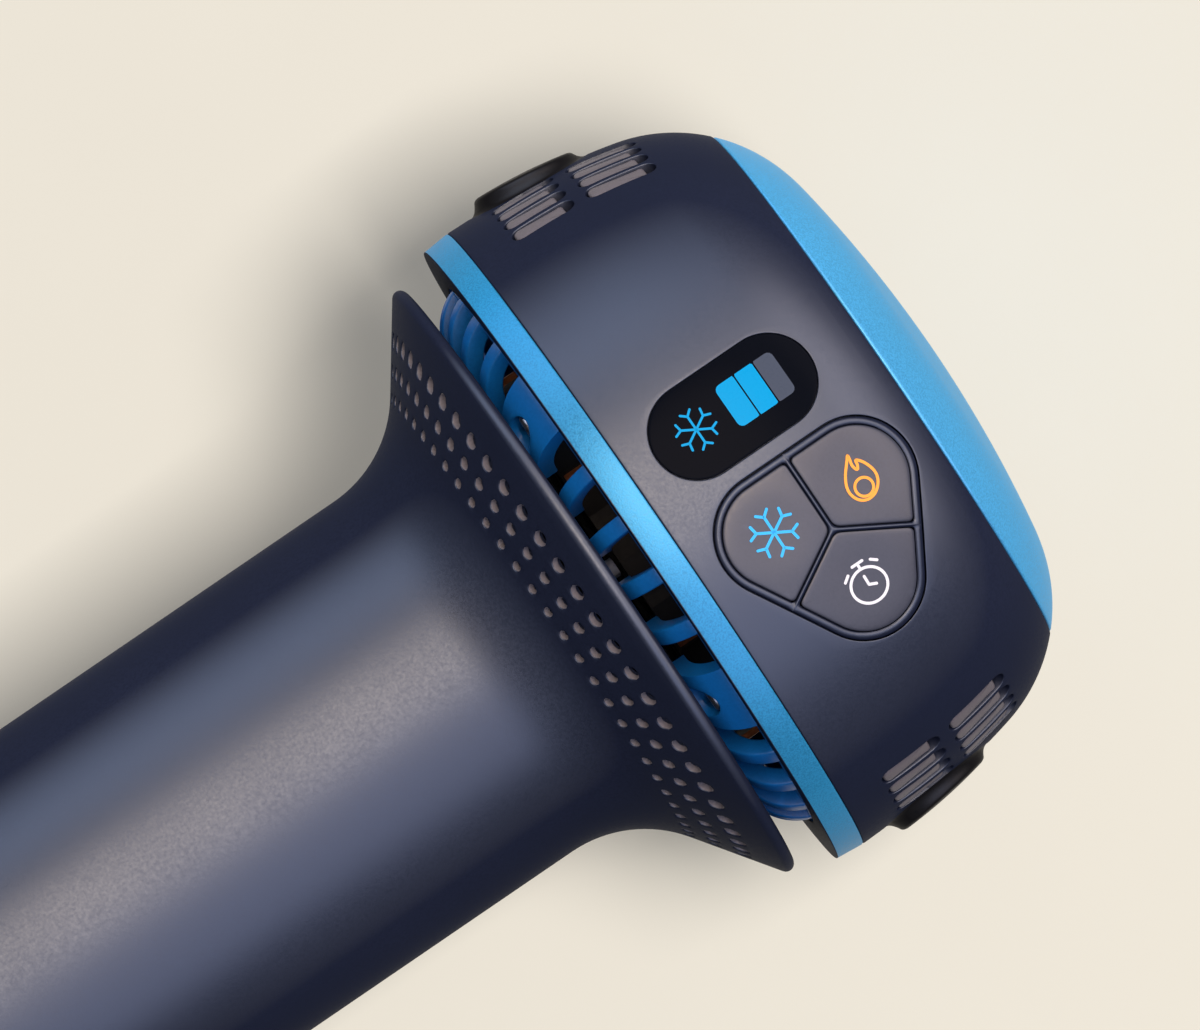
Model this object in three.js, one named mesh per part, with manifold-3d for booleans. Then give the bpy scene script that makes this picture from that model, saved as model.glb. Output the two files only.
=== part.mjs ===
// Handheld hot and cold therapy device: a round handle that flares into a perforated bell, and a domed
// head with a heated and cooled contact plate, a small display and three keys.
// Millimetres, +Z up. The device stands on its flat base, with the origin at the centre of the foot pad.
// The display and the keys face -Y, and +X is to the right as they are seen from the front.

import * as THREE from 'three';
import { mergeVertices } from 'three/addons/utils/BufferGeometryUtils.js';
import Module from 'manifold-3d';

const wasm = await Module();
wasm.setup();

// Fits shared by the whole device
const seatGap = 0.3;
const runningGap = 0.2;
const overrun = 2;
const weldDistance = 0.0001;

// Battery: cells side by side set the bore of the handle
const cellCount = 3;
const cellRadius = 9.25;
const cellLength = 65;
const cellSpacing = 0.6;
const cellEdge = 0.8;
const terminalRadius = 3;
const terminalHeight = 1;
const bundleClearance = 1.32;
const cageFloor = 1.5;
const cageDepth = 4;
const cageBoreGap = 0.15;
const cageWireHole = 2.2;

// Foot, base cap and charging inlet
const footProjection = 0.8;
const footThickness = 1.6;
const footRadius = 19;
const capHeight = 9.2;
const capEdge = 1.6;
const capFloor = 1.6;
const capStep = 2;
const spigotHeight = 3.5;
const spigotWall = 1.9;
const boardPostHeight = 1.4;
const boardPostRadius = 2;
const boardPostReach = 14;
const boardPostCount = 3;
const chargeBoardThickness = 1.2;
const chargeBoardRadius = 18.6;
const portWidth = 8.94;
const portHeight = 3.26;
const portLength = 7.35;
const portWall = 0.3;
const portRecess = 0.9;
const portTongueWidth = 6.2;
const portTongueHeight = 0.7;
const portTongueLength = 4.4;
const portInsertDepth = 1.6;
const portInsertGap = 0.1;

// Handle and its flared bell
const handleWall = 2.4;
const flareLead = 0.65;
const flareFilletShare = 0.9924;
const flareAngle = THREE.MathUtils.degToRad(54.5);
const lipSetback = 2.15;
const lipRadius = 0.85;
const intakeRowShares = [
  { radiusShare: 0.0888, lipShare: 0.436 },
  { radiusShare: 0.071, lipShare: 0.738 },
  { radiusShare: 0.056, lipShare: 1.009 },
];
const intakeRunShare = 0.089;
const intakeColumns = 60;

// Neck frame that carries the head on the handle
const neckWall = 1.8;
const neckCollar = 3;
const neckFlange = 2;
const neckWindows = 6;
const neckWindowShare = 0.62;
const neckScrewCount = 4;
const neckScrewRadius = 1.2;
const neckScrewHead = 2.1;
const neckScrewHeadHeight = 1.2;
const neckScrewBite = 1.5;

// Vane bowl under the head
const bowlGap = 0.62;
const bowlRollRadius = 7.3;
const bowlWall = 2.2;
const bowlVisibleHeight = 4.5;
const bowlSpigotHeight = 5.4;
const bowlSpigotWall = 2.2;
const vanePositions = 32;
const vaneThickness = 2.1;
const bossSlots = [3, 13, 19, 29];
const bowlScrewFromRoll = 2.9;
const bowlScrewRadius = 1.15;
const bowlScrewHead = 2;
const bowlScrewHeadHeight = 1.5;
const bowlScrewSocket = 0.75;
const bowlScrewLength = 10;
const bowlScrewDepth = 3.2;

// Trim ring and head housing
const headRadius = 41.85;
const trimHeight = 3.4;
const trimWidth = 5.61;
const trimSetback = 0.3;
const trimEdge = 0.7;
const housingWall = 2.4;
const housingStraight = 7.04;
const housingDraft = THREE.MathUtils.degToRad(1.7);
const shoulderStart = THREE.MathUtils.degToRad(14.25);
const shoulderEnd = THREE.MathUtils.degToRad(80.3);
const housingCurve = 67.4;
const shoulderRadius = 19.4;
const seamHeight = 30.9;
const postRadius = 2.5;
const postHeight = 5.5;
const postRibWidth = 1.6;

// Side vents and side caps
const ventColumns = 4;
const ventWidth = 2.3;
const ventBar = 1.28;
const ventLowerRise = 5;
const ventLowerHeight = 8.1;
const ventUpperRise = 14.6;
const ventUpperHeight = 8.5;
const louvreThickness = 1.2;
const louvreMargin = 1.6;
const louvreRecess = 0.45;
const louvreFall = 0.5;
const louvreOpening = 1.7;
const sideCapRadius = 7.7;
const sideCapRise = 10.8;
const sideCapProud = 1.35;
const sideCapDepth = 2.4;
const sideCapTilt = THREE.MathUtils.degToRad(7.5);
const sideCapEdge = 0.9;
const sideCapCrown = 0.25;
const sideCapSpigot = 3;
const sideCapSpigotLength = 2.6;

// Display
const lensWidth = 10.75;
const lensHeight = 20.6;
const lensThickness = 1.3;
const lensLedge = 1;
const lensX = -7.4;
const displayRise = 14;
const moduleWidth = 7.6;
const moduleHeight = 16.4;

// Keypad: a rounded triangle that points to +X, split into three keys by a Y-shaped web
const keypadX = 10.31;
const keypadRise = 15.5;
const keypadReach = 6.4;
const keypadCorner = 7.15;
const keypadGroove = 0.45;
const keypadRim = 0.55;
const keypadWeb = 0.35;
const keypadWebCorner = 1.2;
const keypadFlange = 1.2;
const keypadPlate = 1;
const keyTravel = 0.5;
const keyBackGap = 0.8;
const keyStemRadius = 1;
const keyClipRadius = 1.6;
const keyClipThickness = 0.6;
const keyGuideWall = 0.9;
const switchSide = 3.4;
const switchHeight = 1.9;
const switchStemHeight = 0.6;
const switchStemRadius = 0.8;
const boardThickness = 1.2;
const boardOverPost = 1;
const boardHeight = 19;
const boardRise = 6.1;
const railWidth = 1.6;
const railDepth = 1.6;
const railLip = 1.2;

// Thermal stack under the contact plate
const plateSpigotHeight = 2;
const plateSpigotWall = 1.3;
const peltierScrewGap = 4.4;
const peltierThickness = 3.6;
const insulatorGap = 0.5;
const sinkBase = 4.4;
const sinkClearance = 0.8;
const sinkFins = 20;
const sinkFinThickness = 0.8;
const sinkCoreRadius = 5;
const sinkFanGap = 1;
const sinkSkirt = 0.7;
const stackScrewEdge = 6.4;
const stackScrewRadius = 1.1;
const stackScrewHead = 1.9;
const stackScrewHeadHeight = 1.6;
const stackScrewBite = 3.2;
const stackScrewCount = 4;
const sensorRadius = 1.2;
const sensorBite = 2.4;
const sensorAngle = THREE.MathUtils.degToRad(22.5);

// Fan under the heat sink
const fanHeight = 10.5;
const fanWall = 1.4;
const fanTipGap = 0.6;
const fanHubRadius = 9;
const fanHubWall = 1.3;
const fanBaseThickness = 1.4;
const fanStruts = 4;
const fanStrutWidth = 2.2;
const fanBlades = 7;
const fanBladeChord = 10.5;
const fanBladeThickness = 0.9;
const fanBladeCamber = 1.3;
const fanBladePitch = THREE.MathUtils.degToRad(34);
const fanShaftRadius = 1;
const fanBearingWall = 1;
const fanPoles = 4;
const fanPoleWidth = 2;
const fanPoleShoe = 6;
const fanPoleShoeDepth = 1.3;

// Facets
const capSteps = 30;
const innerSteps = 24;
const headSteps = 40;
const smallSteps = 16;
const tinySteps = 8;
const holeSteps = 5;
const rollSteps = 5;
const filletSteps = 4;
const cornerSteps = 3;
const bendSteps = 2;

const up = new THREE.Vector3(0, 0, 1);
const sideways = new THREE.Vector3(0, 1, 0);
const turn = 2 * Math.PI;

// Places that follow from the sizes above, from the foot upwards
const cellOffset = (cellRadius + cellSpacing / 2) / Math.sin(Math.PI / cellCount);
const handleBore = cellOffset + cellRadius + bundleClearance;
const handleRadius = handleBore + handleWall;
const handleBottom = footProjection + capHeight;
const spigotTop = handleBottom + spigotHeight;
const spigotRadius = handleBore - seatGap;
const cellBottom = spigotTop + cageFloor;
const cellTop = cellBottom + cellLength;
const cageTop = cellTop + terminalHeight + cageFloor;
const flareStart = cellTop + flareLead;
const lipCentreR = headRadius - lipSetback - lipRadius;
const flareFillet = flareFilletShare * (lipCentreR - handleRadius);
const flareStartRadius = handleRadius + flareFillet * (1 - Math.cos(flareAngle));
const flareConeStart = flareStart + flareFillet * Math.sin(flareAngle);
const flareRun = lipCentreR + lipRadius * Math.cos(flareAngle) - flareStartRadius;
const flareLength = flareRun / Math.sin(flareAngle);
const intakeRun = intakeRunShare * flareLength;
const intakeRows = intakeRowShares.map(({ radiusShare, lipShare }) => {
  return { radius: radiusShare * flareLength, fromLip: lipShare * flareLength };
});
const lipCentreZ = flareConeStart + flareLength * Math.cos(flareAngle) + lipRadius * Math.sin(flareAngle);
const bowlBottom = lipCentreZ + bowlGap;
const bowlRollZ = bowlBottom + bowlRollRadius;
const trimBottom = bowlBottom + bowlVisibleHeight;
const bowlRadius = headRadius - trimWidth;
const bowlRollReach = bowlRadius - Math.sqrt(bowlRollRadius ** 2 - (bowlRollZ - trimBottom) ** 2);
const bowlScrewReach = bowlRollReach + bowlScrewFromRoll;
const bowlTop = trimBottom + bowlSpigotHeight;
const housingBottom = trimBottom + trimHeight;
const seamZ = housingBottom + seamHeight;
const fanBottom = bowlBottom + bowlWall;
const fanTop = fanBottom + fanHeight;
const bossAngles = bossSlots.map((slot) => (slot * turn) / vanePositions);

// Basic shapes

// Turns a closed three.js geometry into a solid that can be joined and cut
function solidOf(geometry) {
  const bare = geometry.clone();
  bare.deleteAttribute('normal');
  bare.deleteAttribute('uv');
  const welded = mergeVertices(bare, weldDistance);
  const corners = [];
  for (let i = 0; i < welded.index.count; i += 3) {
    const face = [welded.index.getX(i), welded.index.getX(i + 1), welded.index.getX(i + 2)];
    if (new Set(face).size === 3) corners.push(...face);
  }
  const vertProperties = welded.attributes.position.array;
  return new wasm.Manifold(new wasm.Mesh({ numProp: 3, vertProperties, triVerts: new Uint32Array(corners) }));
}

function joined(solids) {
  return solids.reduce((whole, solid) => whole.add(solid));
}

// Points of an arc in the plane of a profile
function arc(centreR, centreZ, radius, fromAngle, toAngle, steps) {
  return Array.from({ length: steps + 1 }, (_, i) => {
    const angle = fromAngle + ((toAngle - fromAngle) * i) / steps;
    return [centreR + radius * Math.cos(angle), centreZ + radius * Math.sin(angle)];
  });
}

// Revolves a profile of [radius, height] points about Z, whichever way round its points run.
// A profile that doesn't end on the axis is closed on itself.
function revolve(profile, steps, startAngle = 0) {
  const points = profile.map(([r, z]) => new THREE.Vector2(r, z));
  if (points[0].x > 0 || points.at(-1).x > 0) points.push(points[0].clone());
  if (THREE.ShapeUtils.area(points) < 0) points.reverse();
  return solidOf(new THREE.LatheGeometry(points, steps).rotateX(Math.PI / 2).rotateZ(startAngle));
}

function disc(radius, bottom, top, steps = smallSteps) {
  return revolve([[0, bottom], [radius, bottom], [radius, top], [0, top]], steps);
}

function ring(inner, outer, bottom, top, steps) {
  return revolve([[inner, bottom], [outer, bottom], [outer, top], [inner, top]], steps);
}

// Box from one corner to the other
function block(low, high) {
  const size = high.map((value, i) => value - low[i]);
  const middle = high.map((value, i) => (value + low[i]) / 2);
  return solidOf(new THREE.BoxGeometry(...size).translate(...middle));
}

function extruded(shape, depth, curveSegments = cornerSteps) {
  return new THREE.ExtrudeGeometry(shape, { depth, bevelEnabled: false, curveSegments });
}

// Runs an outline given in X and Z along Y, from the front to the back
function frontPrism(shape, front, back) {
  return solidOf(extruded(shape, back - front).rotateX(Math.PI / 2).translate(0, back, 0));
}

// Cylinder along any direction, centred on a point
function rod(radius, length, direction, centre, steps = tinySteps) {
  const geometry = new THREE.CylinderGeometry(radius, radius, length, steps);
  geometry.applyQuaternion(new THREE.Quaternion().setFromUnitVectors(sideways, direction));
  return solidOf(geometry.translate(...centre));
}

// Cylinder along Y, from the front to the back
function frontRod(radius, x, z, front, back, steps = tinySteps) {
  return rod(radius, back - front, sideways, [x, (front + back) / 2, z], steps);
}

function roundedRectangle(width, height, corner) {
  const shape = new THREE.Shape();
  const x = width / 2 - corner;
  const y = height / 2 - corner;
  shape.absarc(x, y, corner, 0, turn / 4);
  shape.absarc(-x, y, corner, turn / 4, turn / 2);
  shape.absarc(-x, -y, corner, turn / 2, (3 * turn) / 4);
  shape.absarc(x, -y, corner, (3 * turn) / 4, turn);
  return shape;
}

function movedShape(shape, x, y) {
  return new THREE.Shape(shape.getPoints(cornerSteps).map((p) => new THREE.Vector2(p.x + x, p.y + y)));
}

// Frame whose X runs round the device, Y up and Z outwards, at an angle from +X
function outwardFrame(angle) {
  const around = new THREE.Vector3(-Math.sin(angle), Math.cos(angle), 0);
  const outward = new THREE.Vector3(Math.cos(angle), Math.sin(angle), 0);
  return new THREE.Matrix4().makeBasis(around, up, outward);
}

// Angle from +X of a direction that is measured round from the front
const fromFront = (angle) => angle - turn / 4;

function atAngle(radius, angle, z) {
  return new THREE.Vector3(radius * Math.cos(angle), radius * Math.sin(angle), z);
}

const device = new THREE.Group();

function place(name, solid, finish, position = new THREE.Vector3(), turned = 0) {
  const { vertProperties, triVerts } = solid.getMesh();
  const geometry = new THREE.BufferGeometry();
  geometry.setAttribute('position', new THREE.BufferAttribute(new Float32Array(vertProperties), 3));
  geometry.setIndex(new THREE.BufferAttribute(new Uint32Array(triVerts), 1));
  geometry.computeVertexNormals();
  const mesh = new THREE.Mesh(geometry, new THREE.MeshStandardMaterial(finish));
  mesh.name = name;
  mesh.position.copy(position);
  mesh.rotation.z = turned;
  device.add(mesh);
  return mesh;
}

// Finishes
const softTouch = { color: 0x2a2e3c, roughness: 0.55, metalness: 0 };
const anodised = { color: 0x58a9d6, roughness: 0.32, metalness: 0.9 };
const vaneBlue = { color: 0x0c4b8c, roughness: 0.4, metalness: 0 };
const pianoBlack = { color: 0x0b0c10, roughness: 0.08, metalness: 0 };
const capBlack = { color: 0x0d0e11, roughness: 0.18, metalness: 0 };
const ventGrey = { color: 0x6f686a, roughness: 0.6, metalness: 0 };
const darkPlastic = { color: 0x1c1d20, roughness: 0.6, metalness: 0 };
const footRubber = { color: 0x17181b, roughness: 0.9, metalness: 0 };
const steel = { color: 0xa9adb2, roughness: 0.35, metalness: 1 };
const copper = { color: 0xb27044, roughness: 0.35, metalness: 1 };
const cellWrap = { color: 0x2f7d62, roughness: 0.45, metalness: 0 };
const boardGreen = { color: 0x14523a, roughness: 0.5, metalness: 0 };
const ceramicWhite = { color: 0xe9e6de, roughness: 0.7, metalness: 0 };
const foamGrey = { color: 0x4a4c50, roughness: 0.95, metalness: 0 };

// Head form: a drafted wall, a long curve, a tight shoulder and a flat crown, each tangent to the next

const wallTopZ = housingBottom + housingStraight;
const wallTopR = headRadius - housingStraight * Math.tan(housingDraft);
const curveR = wallTopR - housingCurve * Math.cos(housingDraft);
const curveZ = wallTopZ - housingCurve * Math.sin(housingDraft);
const shoulderR = curveR + (housingCurve - shoulderRadius) * Math.cos(shoulderStart);
const shoulderZ = curveZ + (housingCurve - shoulderRadius) * Math.sin(shoulderStart);
const crownEdgeR = shoulderR + shoulderRadius * Math.cos(shoulderEnd);
const crownEdgeZ = shoulderZ + shoulderRadius * Math.sin(shoulderEnd);
const crownRadius = crownEdgeR / Math.cos(shoulderEnd);
const crownZ = crownEdgeZ - crownRadius * Math.sin(shoulderEnd);

// Points up the skin of the head, drawn in by an inset, to an angle on the shoulder
function skinProfile(inset, topAngle, shoulderSteps) {
  return [
    ...arc(curveR, curveZ, housingCurve - inset, housingDraft, shoulderStart, bendSteps),
    ...arc(shoulderR, shoulderZ, shoulderRadius - inset, shoulderStart, topAngle, shoulderSteps).slice(1),
  ];
}

// Angle at which the shoulder, drawn in by an inset, meets the seam under the contact plate
function seamAngle(inset) {
  return Math.asin((seamZ - shoulderZ) / (shoulderRadius - inset));
}

// The whole head below its skin, as one solid
function headSolid(inset) {
  return revolve([
    [0, housingBottom],
    [headRadius - inset / Math.cos(housingDraft), housingBottom],
    ...skinProfile(inset, shoulderEnd, rollSteps),
    ...arc(0, crownZ, crownRadius - inset, shoulderEnd, turn / 4, bendSteps).slice(1, -1),
    [0, crownZ + crownRadius - inset],
  ], headSteps);
}

// Radius of the head's skin, drawn in by an inset, at a height below its crown
function skinRadiusAt(z, inset = 0) {
  const curve = housingCurve - inset;
  const shoulder = shoulderRadius - inset;
  if (z < curveZ + curve * Math.sin(housingDraft)) {
    return headRadius - inset / Math.cos(housingDraft) - (z - housingBottom) * Math.tan(housingDraft);
  }
  if (z < curveZ + curve * Math.sin(shoulderStart)) return curveR + Math.sqrt(curve ** 2 - (z - curveZ) ** 2);
  return shoulderR + Math.sqrt(shoulder ** 2 - (z - shoulderZ) ** 2);
}

// How far in front of the axis the housing's face lies
function faceDepth(x, z) {
  return Math.sqrt(skinRadiusAt(z) ** 2 - x ** 2);
}

const frontReach = headRadius + overrun;

// A slice of the head between two depths under its skin
function skinLayer(outerInset, innerInset) {
  return headSolid(outerInset).subtract(headSolid(innerInset));
}

// Keypad outlines

const keypadZ = housingBottom + keypadRise;
const keyNames = ['timer', 'heat', 'cold'];
const keyStep = turn / keyNames.length;
const keySpots = keyNames.map((name, i) => {
  const angle = i * keyStep;
  const x = keypadX + keypadReach * Math.cos(angle);
  const z = keypadZ + keypadReach * Math.sin(angle);
  return { name, angle, x, z };
});

// Rounded triangle whose corners are drawn in by an inset
function keypadOutline(inset) {
  const shape = new THREE.Shape();
  keySpots.forEach(({ angle, x, z }) => {
    shape.absarc(x, z, keypadCorner - inset, angle - keyStep / 2, angle + keyStep / 2);
  });
  return shape;
}

// Wedge between two arms of the web, drawn in from them by a gap, with a rounded inner corner
function keyWedge({ angle }, gap) {
  const tip = (keypadWeb / 2 + gap + keypadWebCorner) / Math.sin(keyStep / 2);
  const far = 2 * (keypadReach + keypadCorner);
  const x = keypadX + tip * Math.cos(angle);
  const z = keypadZ + tip * Math.sin(angle);
  const arms = [angle + keyStep / 2, angle - keyStep / 2];
  const shape = new THREE.Shape();
  shape.moveTo(x + far * Math.cos(arms[1]), z + far * Math.sin(arms[1]));
  shape.lineTo(x + far * Math.cos(arms[0]), z + far * Math.sin(arms[0]));
  const start = arms[0] + turn / 4;
  const end = arms[1] + (3 * turn) / 4;
  shape.absarc(x, z, keypadWebCorner, start, end);
  return shape;
}

const timerSpot = keySpots[0];
const keyGuideRadius = keyStemRadius + seatGap + keyGuideWall;
const keypadPlateInset = housingWall + seatGap;
const keypadBackInset = keypadPlateInset + keypadPlate;
const keyThickness = keypadPlateInset - keyBackGap;
const guideBack = keypadBackInset - faceDepth(timerSpot.x + keyGuideRadius, timerSpot.z + keyGuideRadius);
const clipFront = guideBack + seatGap;
const clipBack = clipFront + keyClipThickness;
const keyTipBack = clipBack + runningGap;
const switchTop = keyTipBack + keyTravel + runningGap;
const boardFront = switchTop + switchStemHeight + switchHeight;
const boardBack = boardFront + boardThickness;
const sinkRadius = -boardBack - sinkClearance;
const fanRadius = sinkRadius - sinkFinThickness - sinkSkirt - seatGap;
const fanBore = fanRadius - fanWall;
const fanRotorRadius = fanBore - fanTipGap;

// Handle

// Profile of the shell: up the outside, over the lip and down the inside. The two straight walls of the
// bell, which the intake holes go through, start at the points whose numbers are given. The inner wall is
// as long as the outer one, and the inner fillet fills what is left of it down to the bore.
function handleProfile() {
  const normalR = Math.cos(flareAngle);
  const normalZ = -Math.sin(flareAngle);
  const innerLine = normalR * lipCentreR + normalZ * lipCentreZ - lipRadius;
  const innerWholeRun = (lipCentreR - lipRadius * normalR - handleBore) / Math.sin(flareAngle);
  const innerFillet = (innerWholeRun - flareLength - intakeRun) / Math.tan(flareAngle / 2);
  const filletR = handleBore + innerFillet;
  const filletZ = (innerLine + innerFillet - normalR * filletR) / normalZ;
  const filletEnd = turn / 2 - flareAngle;
  const trimmedEnd = filletEnd + intakeRun / flareFillet;
  const outside = [
    [handleBore, handleBottom],
    [handleRadius, handleBottom],
    ...arc(handleRadius + flareFillet, flareStart, flareFillet, turn / 2, trimmedEnd, filletSteps),
  ];
  const lip = arc(lipCentreR, lipCentreZ, lipRadius, -flareAngle, turn / 2 - flareAngle, bendSteps);
  const inside = arc(filletR, filletZ, innerFillet, filletEnd, turn / 2, bendSteps);
  const profile = [...outside, ...lip, ...inside];
  return { profile, outerWall: outside.length - 1, innerWall: outside.length + lip.length - 1 };
}

// Corners of the intake holes on the flat facet of one column, in its middle plane. The holes are drilled
// square to the outer wall, and each has a corner on the outer and on the inner wall.
function intakeCorners(angle, outerWall, innerWall) {
  const half = Math.cos(Math.PI / intakeColumns);
  const flat = ([r, z]) => atAngle(r * half, angle, z);
  const [outerFoot, outerLip] = outerWall.map(flat);
  const [innerLip, innerFoot] = innerWall.map(flat);
  const around = new THREE.Vector3(-Math.sin(angle), Math.cos(angle), 0);
  const along = outerLip.clone().sub(outerFoot).normalize();
  const drill = new THREE.Vector3().crossVectors(along, around);
  const innerNormal = new THREE.Vector3().crossVectors(innerLip.clone().sub(innerFoot), around);
  return intakeRows.map(({ radius, fromLip }) => {
    const centre = outerLip.clone().addScaledVector(along, -fromLip);
    return Array.from({ length: holeSteps }, (_, i) => {
      const corner = (i * turn) / holeSteps;
      const outer = centre.clone().addScaledVector(around, radius * Math.cos(corner));
      outer.addScaledVector(along, radius * Math.sin(corner));
      const reach = innerFoot.clone().sub(outer).dot(innerNormal) / drill.dot(innerNormal);
      return { outer, inner: outer.clone().addScaledVector(drill, reach) };
    });
  });
}

// Triangles of a flat facet with holes, as numbers into the facet's corners and then the holes' corners
function facetWithHoles(corners, holes, angle) {
  const [foot, , , lip] = corners;
  const around = new THREE.Vector3(-Math.sin(angle), Math.cos(angle), 0);
  const along = lip.clone().sub(foot);
  along.addScaledVector(around, -along.dot(around)).normalize();
  const flat = (p) => new THREE.Vector2(p.dot(around), p.dot(along));
  const outline = corners.map(flat);
  const outlines = holes.map((hole) => hole.map(flat));
  const points = [...outline, ...outlines.flat()];
  const side = Math.sign(THREE.ShapeUtils.area(outline));
  return THREE.ShapeUtils.triangulateShape(outline, outlines).map((face) => {
    const area = THREE.ShapeUtils.area(face.map((number) => points[number]));
    return Math.sign(area) === side ? face : face.toReversed();
  });
}

// One column of facets for each column of holes, with the holes in the middle of their facets
function handleShell() {
  const { profile, outerWall, innerWall } = handleProfile();
  const count = profile.length;
  const corners = [];
  const faces = [];
  const angleOf = (column) => fromFront(((column - 1 / 2) * turn) / intakeColumns);
  for (let column = 0; column < intakeColumns; column += 1) {
    profile.forEach(([r, z]) => corners.push(atAngle(r, angleOf(column), z)));
  }
  const addFacet = (facet, holes, angle) => {
    const numbers = [...facet, ...holes.flat()];
    const points = holes.map((hole) => hole.map((number) => corners[number]));
    facetWithHoles(facet.map((number) => corners[number]), points, angle).forEach((face) => {
      faces.push(face.map((local) => numbers[local]));
    });
  };
  for (let column = 0; column < intakeColumns; column += 1) {
    const next = (column + 1) % intakeColumns;
    const angle = angleOf(column + 1 / 2);
    const at = (side, k) => side * count + (k % count);
    const facetAt = (k) => [at(column, k), at(next, k), at(next, k + 1), at(column, k + 1)];
    for (let k = 0; k < count; k += 1) {
      if (k === outerWall || k === innerWall) continue;
      const facet = facetAt(k);
      faces.push([facet[0], facet[1], facet[2]], [facet[0], facet[2], facet[3]]);
    }
    const outerEnds = [profile[outerWall], profile[outerWall + 1]];
    const holes = intakeCorners(angle, outerEnds, [profile[innerWall], profile[innerWall + 1]]);
    const outerHoles = holes.map((hole) => hole.map(({ outer }) => corners.push(outer) - 1));
    const innerHoles = holes.map((hole) => hole.map(({ inner }) => corners.push(inner) - 1));
    addFacet(facetAt(outerWall), outerHoles, angle);
    addFacet(facetAt(innerWall), innerHoles, angle);
    outerHoles.forEach((hole, row) => hole.forEach((corner, i) => {
      const j = (i + 1) % holeSteps;
      faces.push([corner, innerHoles[row][j], innerHoles[row][i]], [corner, hole[j], innerHoles[row][j]]);
    }));
  }
  const geometry = new THREE.BufferGeometry().setFromPoints(corners);
  geometry.setIndex(faces.flat());
  return solidOf(geometry);
}

function buildHandle() {
  place('handle_shell', handleShell(), softTouch);
}

// Base: foot pad, cap, charging board and inlet

const postTop = footThickness + capFloor + boardPostHeight;
const portZ = postTop + chargeBoardThickness + portHeight / 2;
const portFront = handleRadius - portRecess;

function portOutline(grow) {
  const height = portHeight + 2 * grow;
  return roundedRectangle(portWidth + 2 * grow, height, height / 2 - grow / 2 - portWall);
}

// Extrusion of an outline that faces the back, between two distances from the axis
function rearPrism(shape, near, far) {
  const geometry = extruded(shape, far - near, 1).rotateX(Math.PI / 2);
  return solidOf(geometry.translate(0, far, portZ));
}

function buildBase() {
  const stepBore = spigotRadius - spigotWall;
  const pocket = footRadius + seatGap;
  const cap = revolve([
    [0, footThickness],
    [pocket, footThickness],
    [pocket, footProjection],
    ...arc(handleRadius - capEdge, footProjection + capEdge, capEdge, -turn / 4, 0, cornerSteps),
    [handleRadius, handleBottom],
    [spigotRadius, handleBottom],
    [spigotRadius, spigotTop],
    [stepBore, spigotTop],
    [stepBore, handleBottom - capStep],
    [handleBore, handleBottom - capStep],
    [handleBore, footThickness + capFloor],
    [0, footThickness + capFloor],
  ], capSteps);
  const posts = Array.from({ length: boardPostCount }, (_, i) => {
    const spot = atAngle(boardPostReach, fromFront((i * turn) / boardPostCount), 0);
    const height = postTop - footThickness - capFloor / 2;
    return rod(boardPostRadius, height, up, [spot.x, spot.y, postTop - height / 2]);
  });
  const inletHole = rearPrism(portOutline(seatGap), portFront - portLength - overrun, handleRadius + overrun);
  place('base_cap', joined([cap, ...posts]).subtract(inletHole), softTouch);
  place('foot_pad', disc(footRadius, 0, footThickness, capSteps), footRubber);

  place('charge_board', disc(chargeBoardRadius, postTop, postTop + chargeBoardThickness), boardGreen);
  const shellBack = portFront - portLength;
  const bore = rearPrism(portOutline(-portWall), shellBack - overrun, portFront + overrun);
  place('charge_port_shell', rearPrism(portOutline(0), shellBack, portFront).subtract(bore), steel);
  const insert = rearPrism(portOutline(-portWall - portInsertGap), shellBack, shellBack + portInsertDepth);
  const tongueShape = roundedRectangle(portTongueWidth, portTongueHeight, portTongueHeight / 4);
  const tongue = rearPrism(tongueShape, shellBack, shellBack + portInsertDepth + portTongueLength);
  place('charge_port_insert', insert.add(tongue), darkPlastic);
}

// Battery: cells between two cages with a blind bore for each

const cellSpots = Array.from({ length: cellCount }, (_, i) => {
  return atAngle(cellOffset, fromFront((i * turn) / cellCount), 0);
});

function cage(floorBottom, floorTop, openEnd) {
  const low = Math.min(floorBottom, openEnd);
  const high = Math.max(floorTop, openEnd);
  const bores = cellSpots.map((spot) => {
    const from = openEnd > floorTop ? floorTop : openEnd - overrun;
    const to = openEnd > floorTop ? openEnd + overrun : floorBottom;
    return rod(cellRadius + cageBoreGap, to - from, up, [spot.x, spot.y, (from + to) / 2], smallSteps);
  });
  const wires = disc(cageWireHole, low - overrun, high + overrun, tinySteps);
  return disc(spigotRadius, low, high, innerSteps).subtract(joined([...bores, wires]));
}

function buildBattery() {
  const cell = revolve([
    [0, 0],
    [cellRadius, 0],
    [cellRadius, cellLength - cellEdge],
    [cellRadius - cellEdge, cellLength],
    [terminalRadius, cellLength],
    [terminalRadius, cellLength + terminalHeight],
    [0, cellLength + terminalHeight],
  ], smallSteps);
  cellSpots.forEach((spot, i) => {
    place(`battery_cell_${i + 1}`, cell, cellWrap, spot.clone().setZ(cellBottom));
  });
  const roof = cellTop + terminalHeight;
  place('battery_cage_lower', cage(spigotTop, cellBottom, cellBottom + cageDepth), darkPlastic);
  place('battery_cage_upper', cage(roof, cageTop, roof - cageDepth), darkPlastic);
}

// Neck: a windowed tube in the bore of the handle with a flange that carries the head

const flangeBottom = bowlBottom - neckFlange;
const neckScrewReach = (bowlRollReach + fanBore) / 2;
const neckScrewSpots = Array.from({ length: neckScrewCount }, (_, i) => {
  return atAngle(neckScrewReach, (i * turn) / neckScrewCount, flangeBottom);
});

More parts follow.
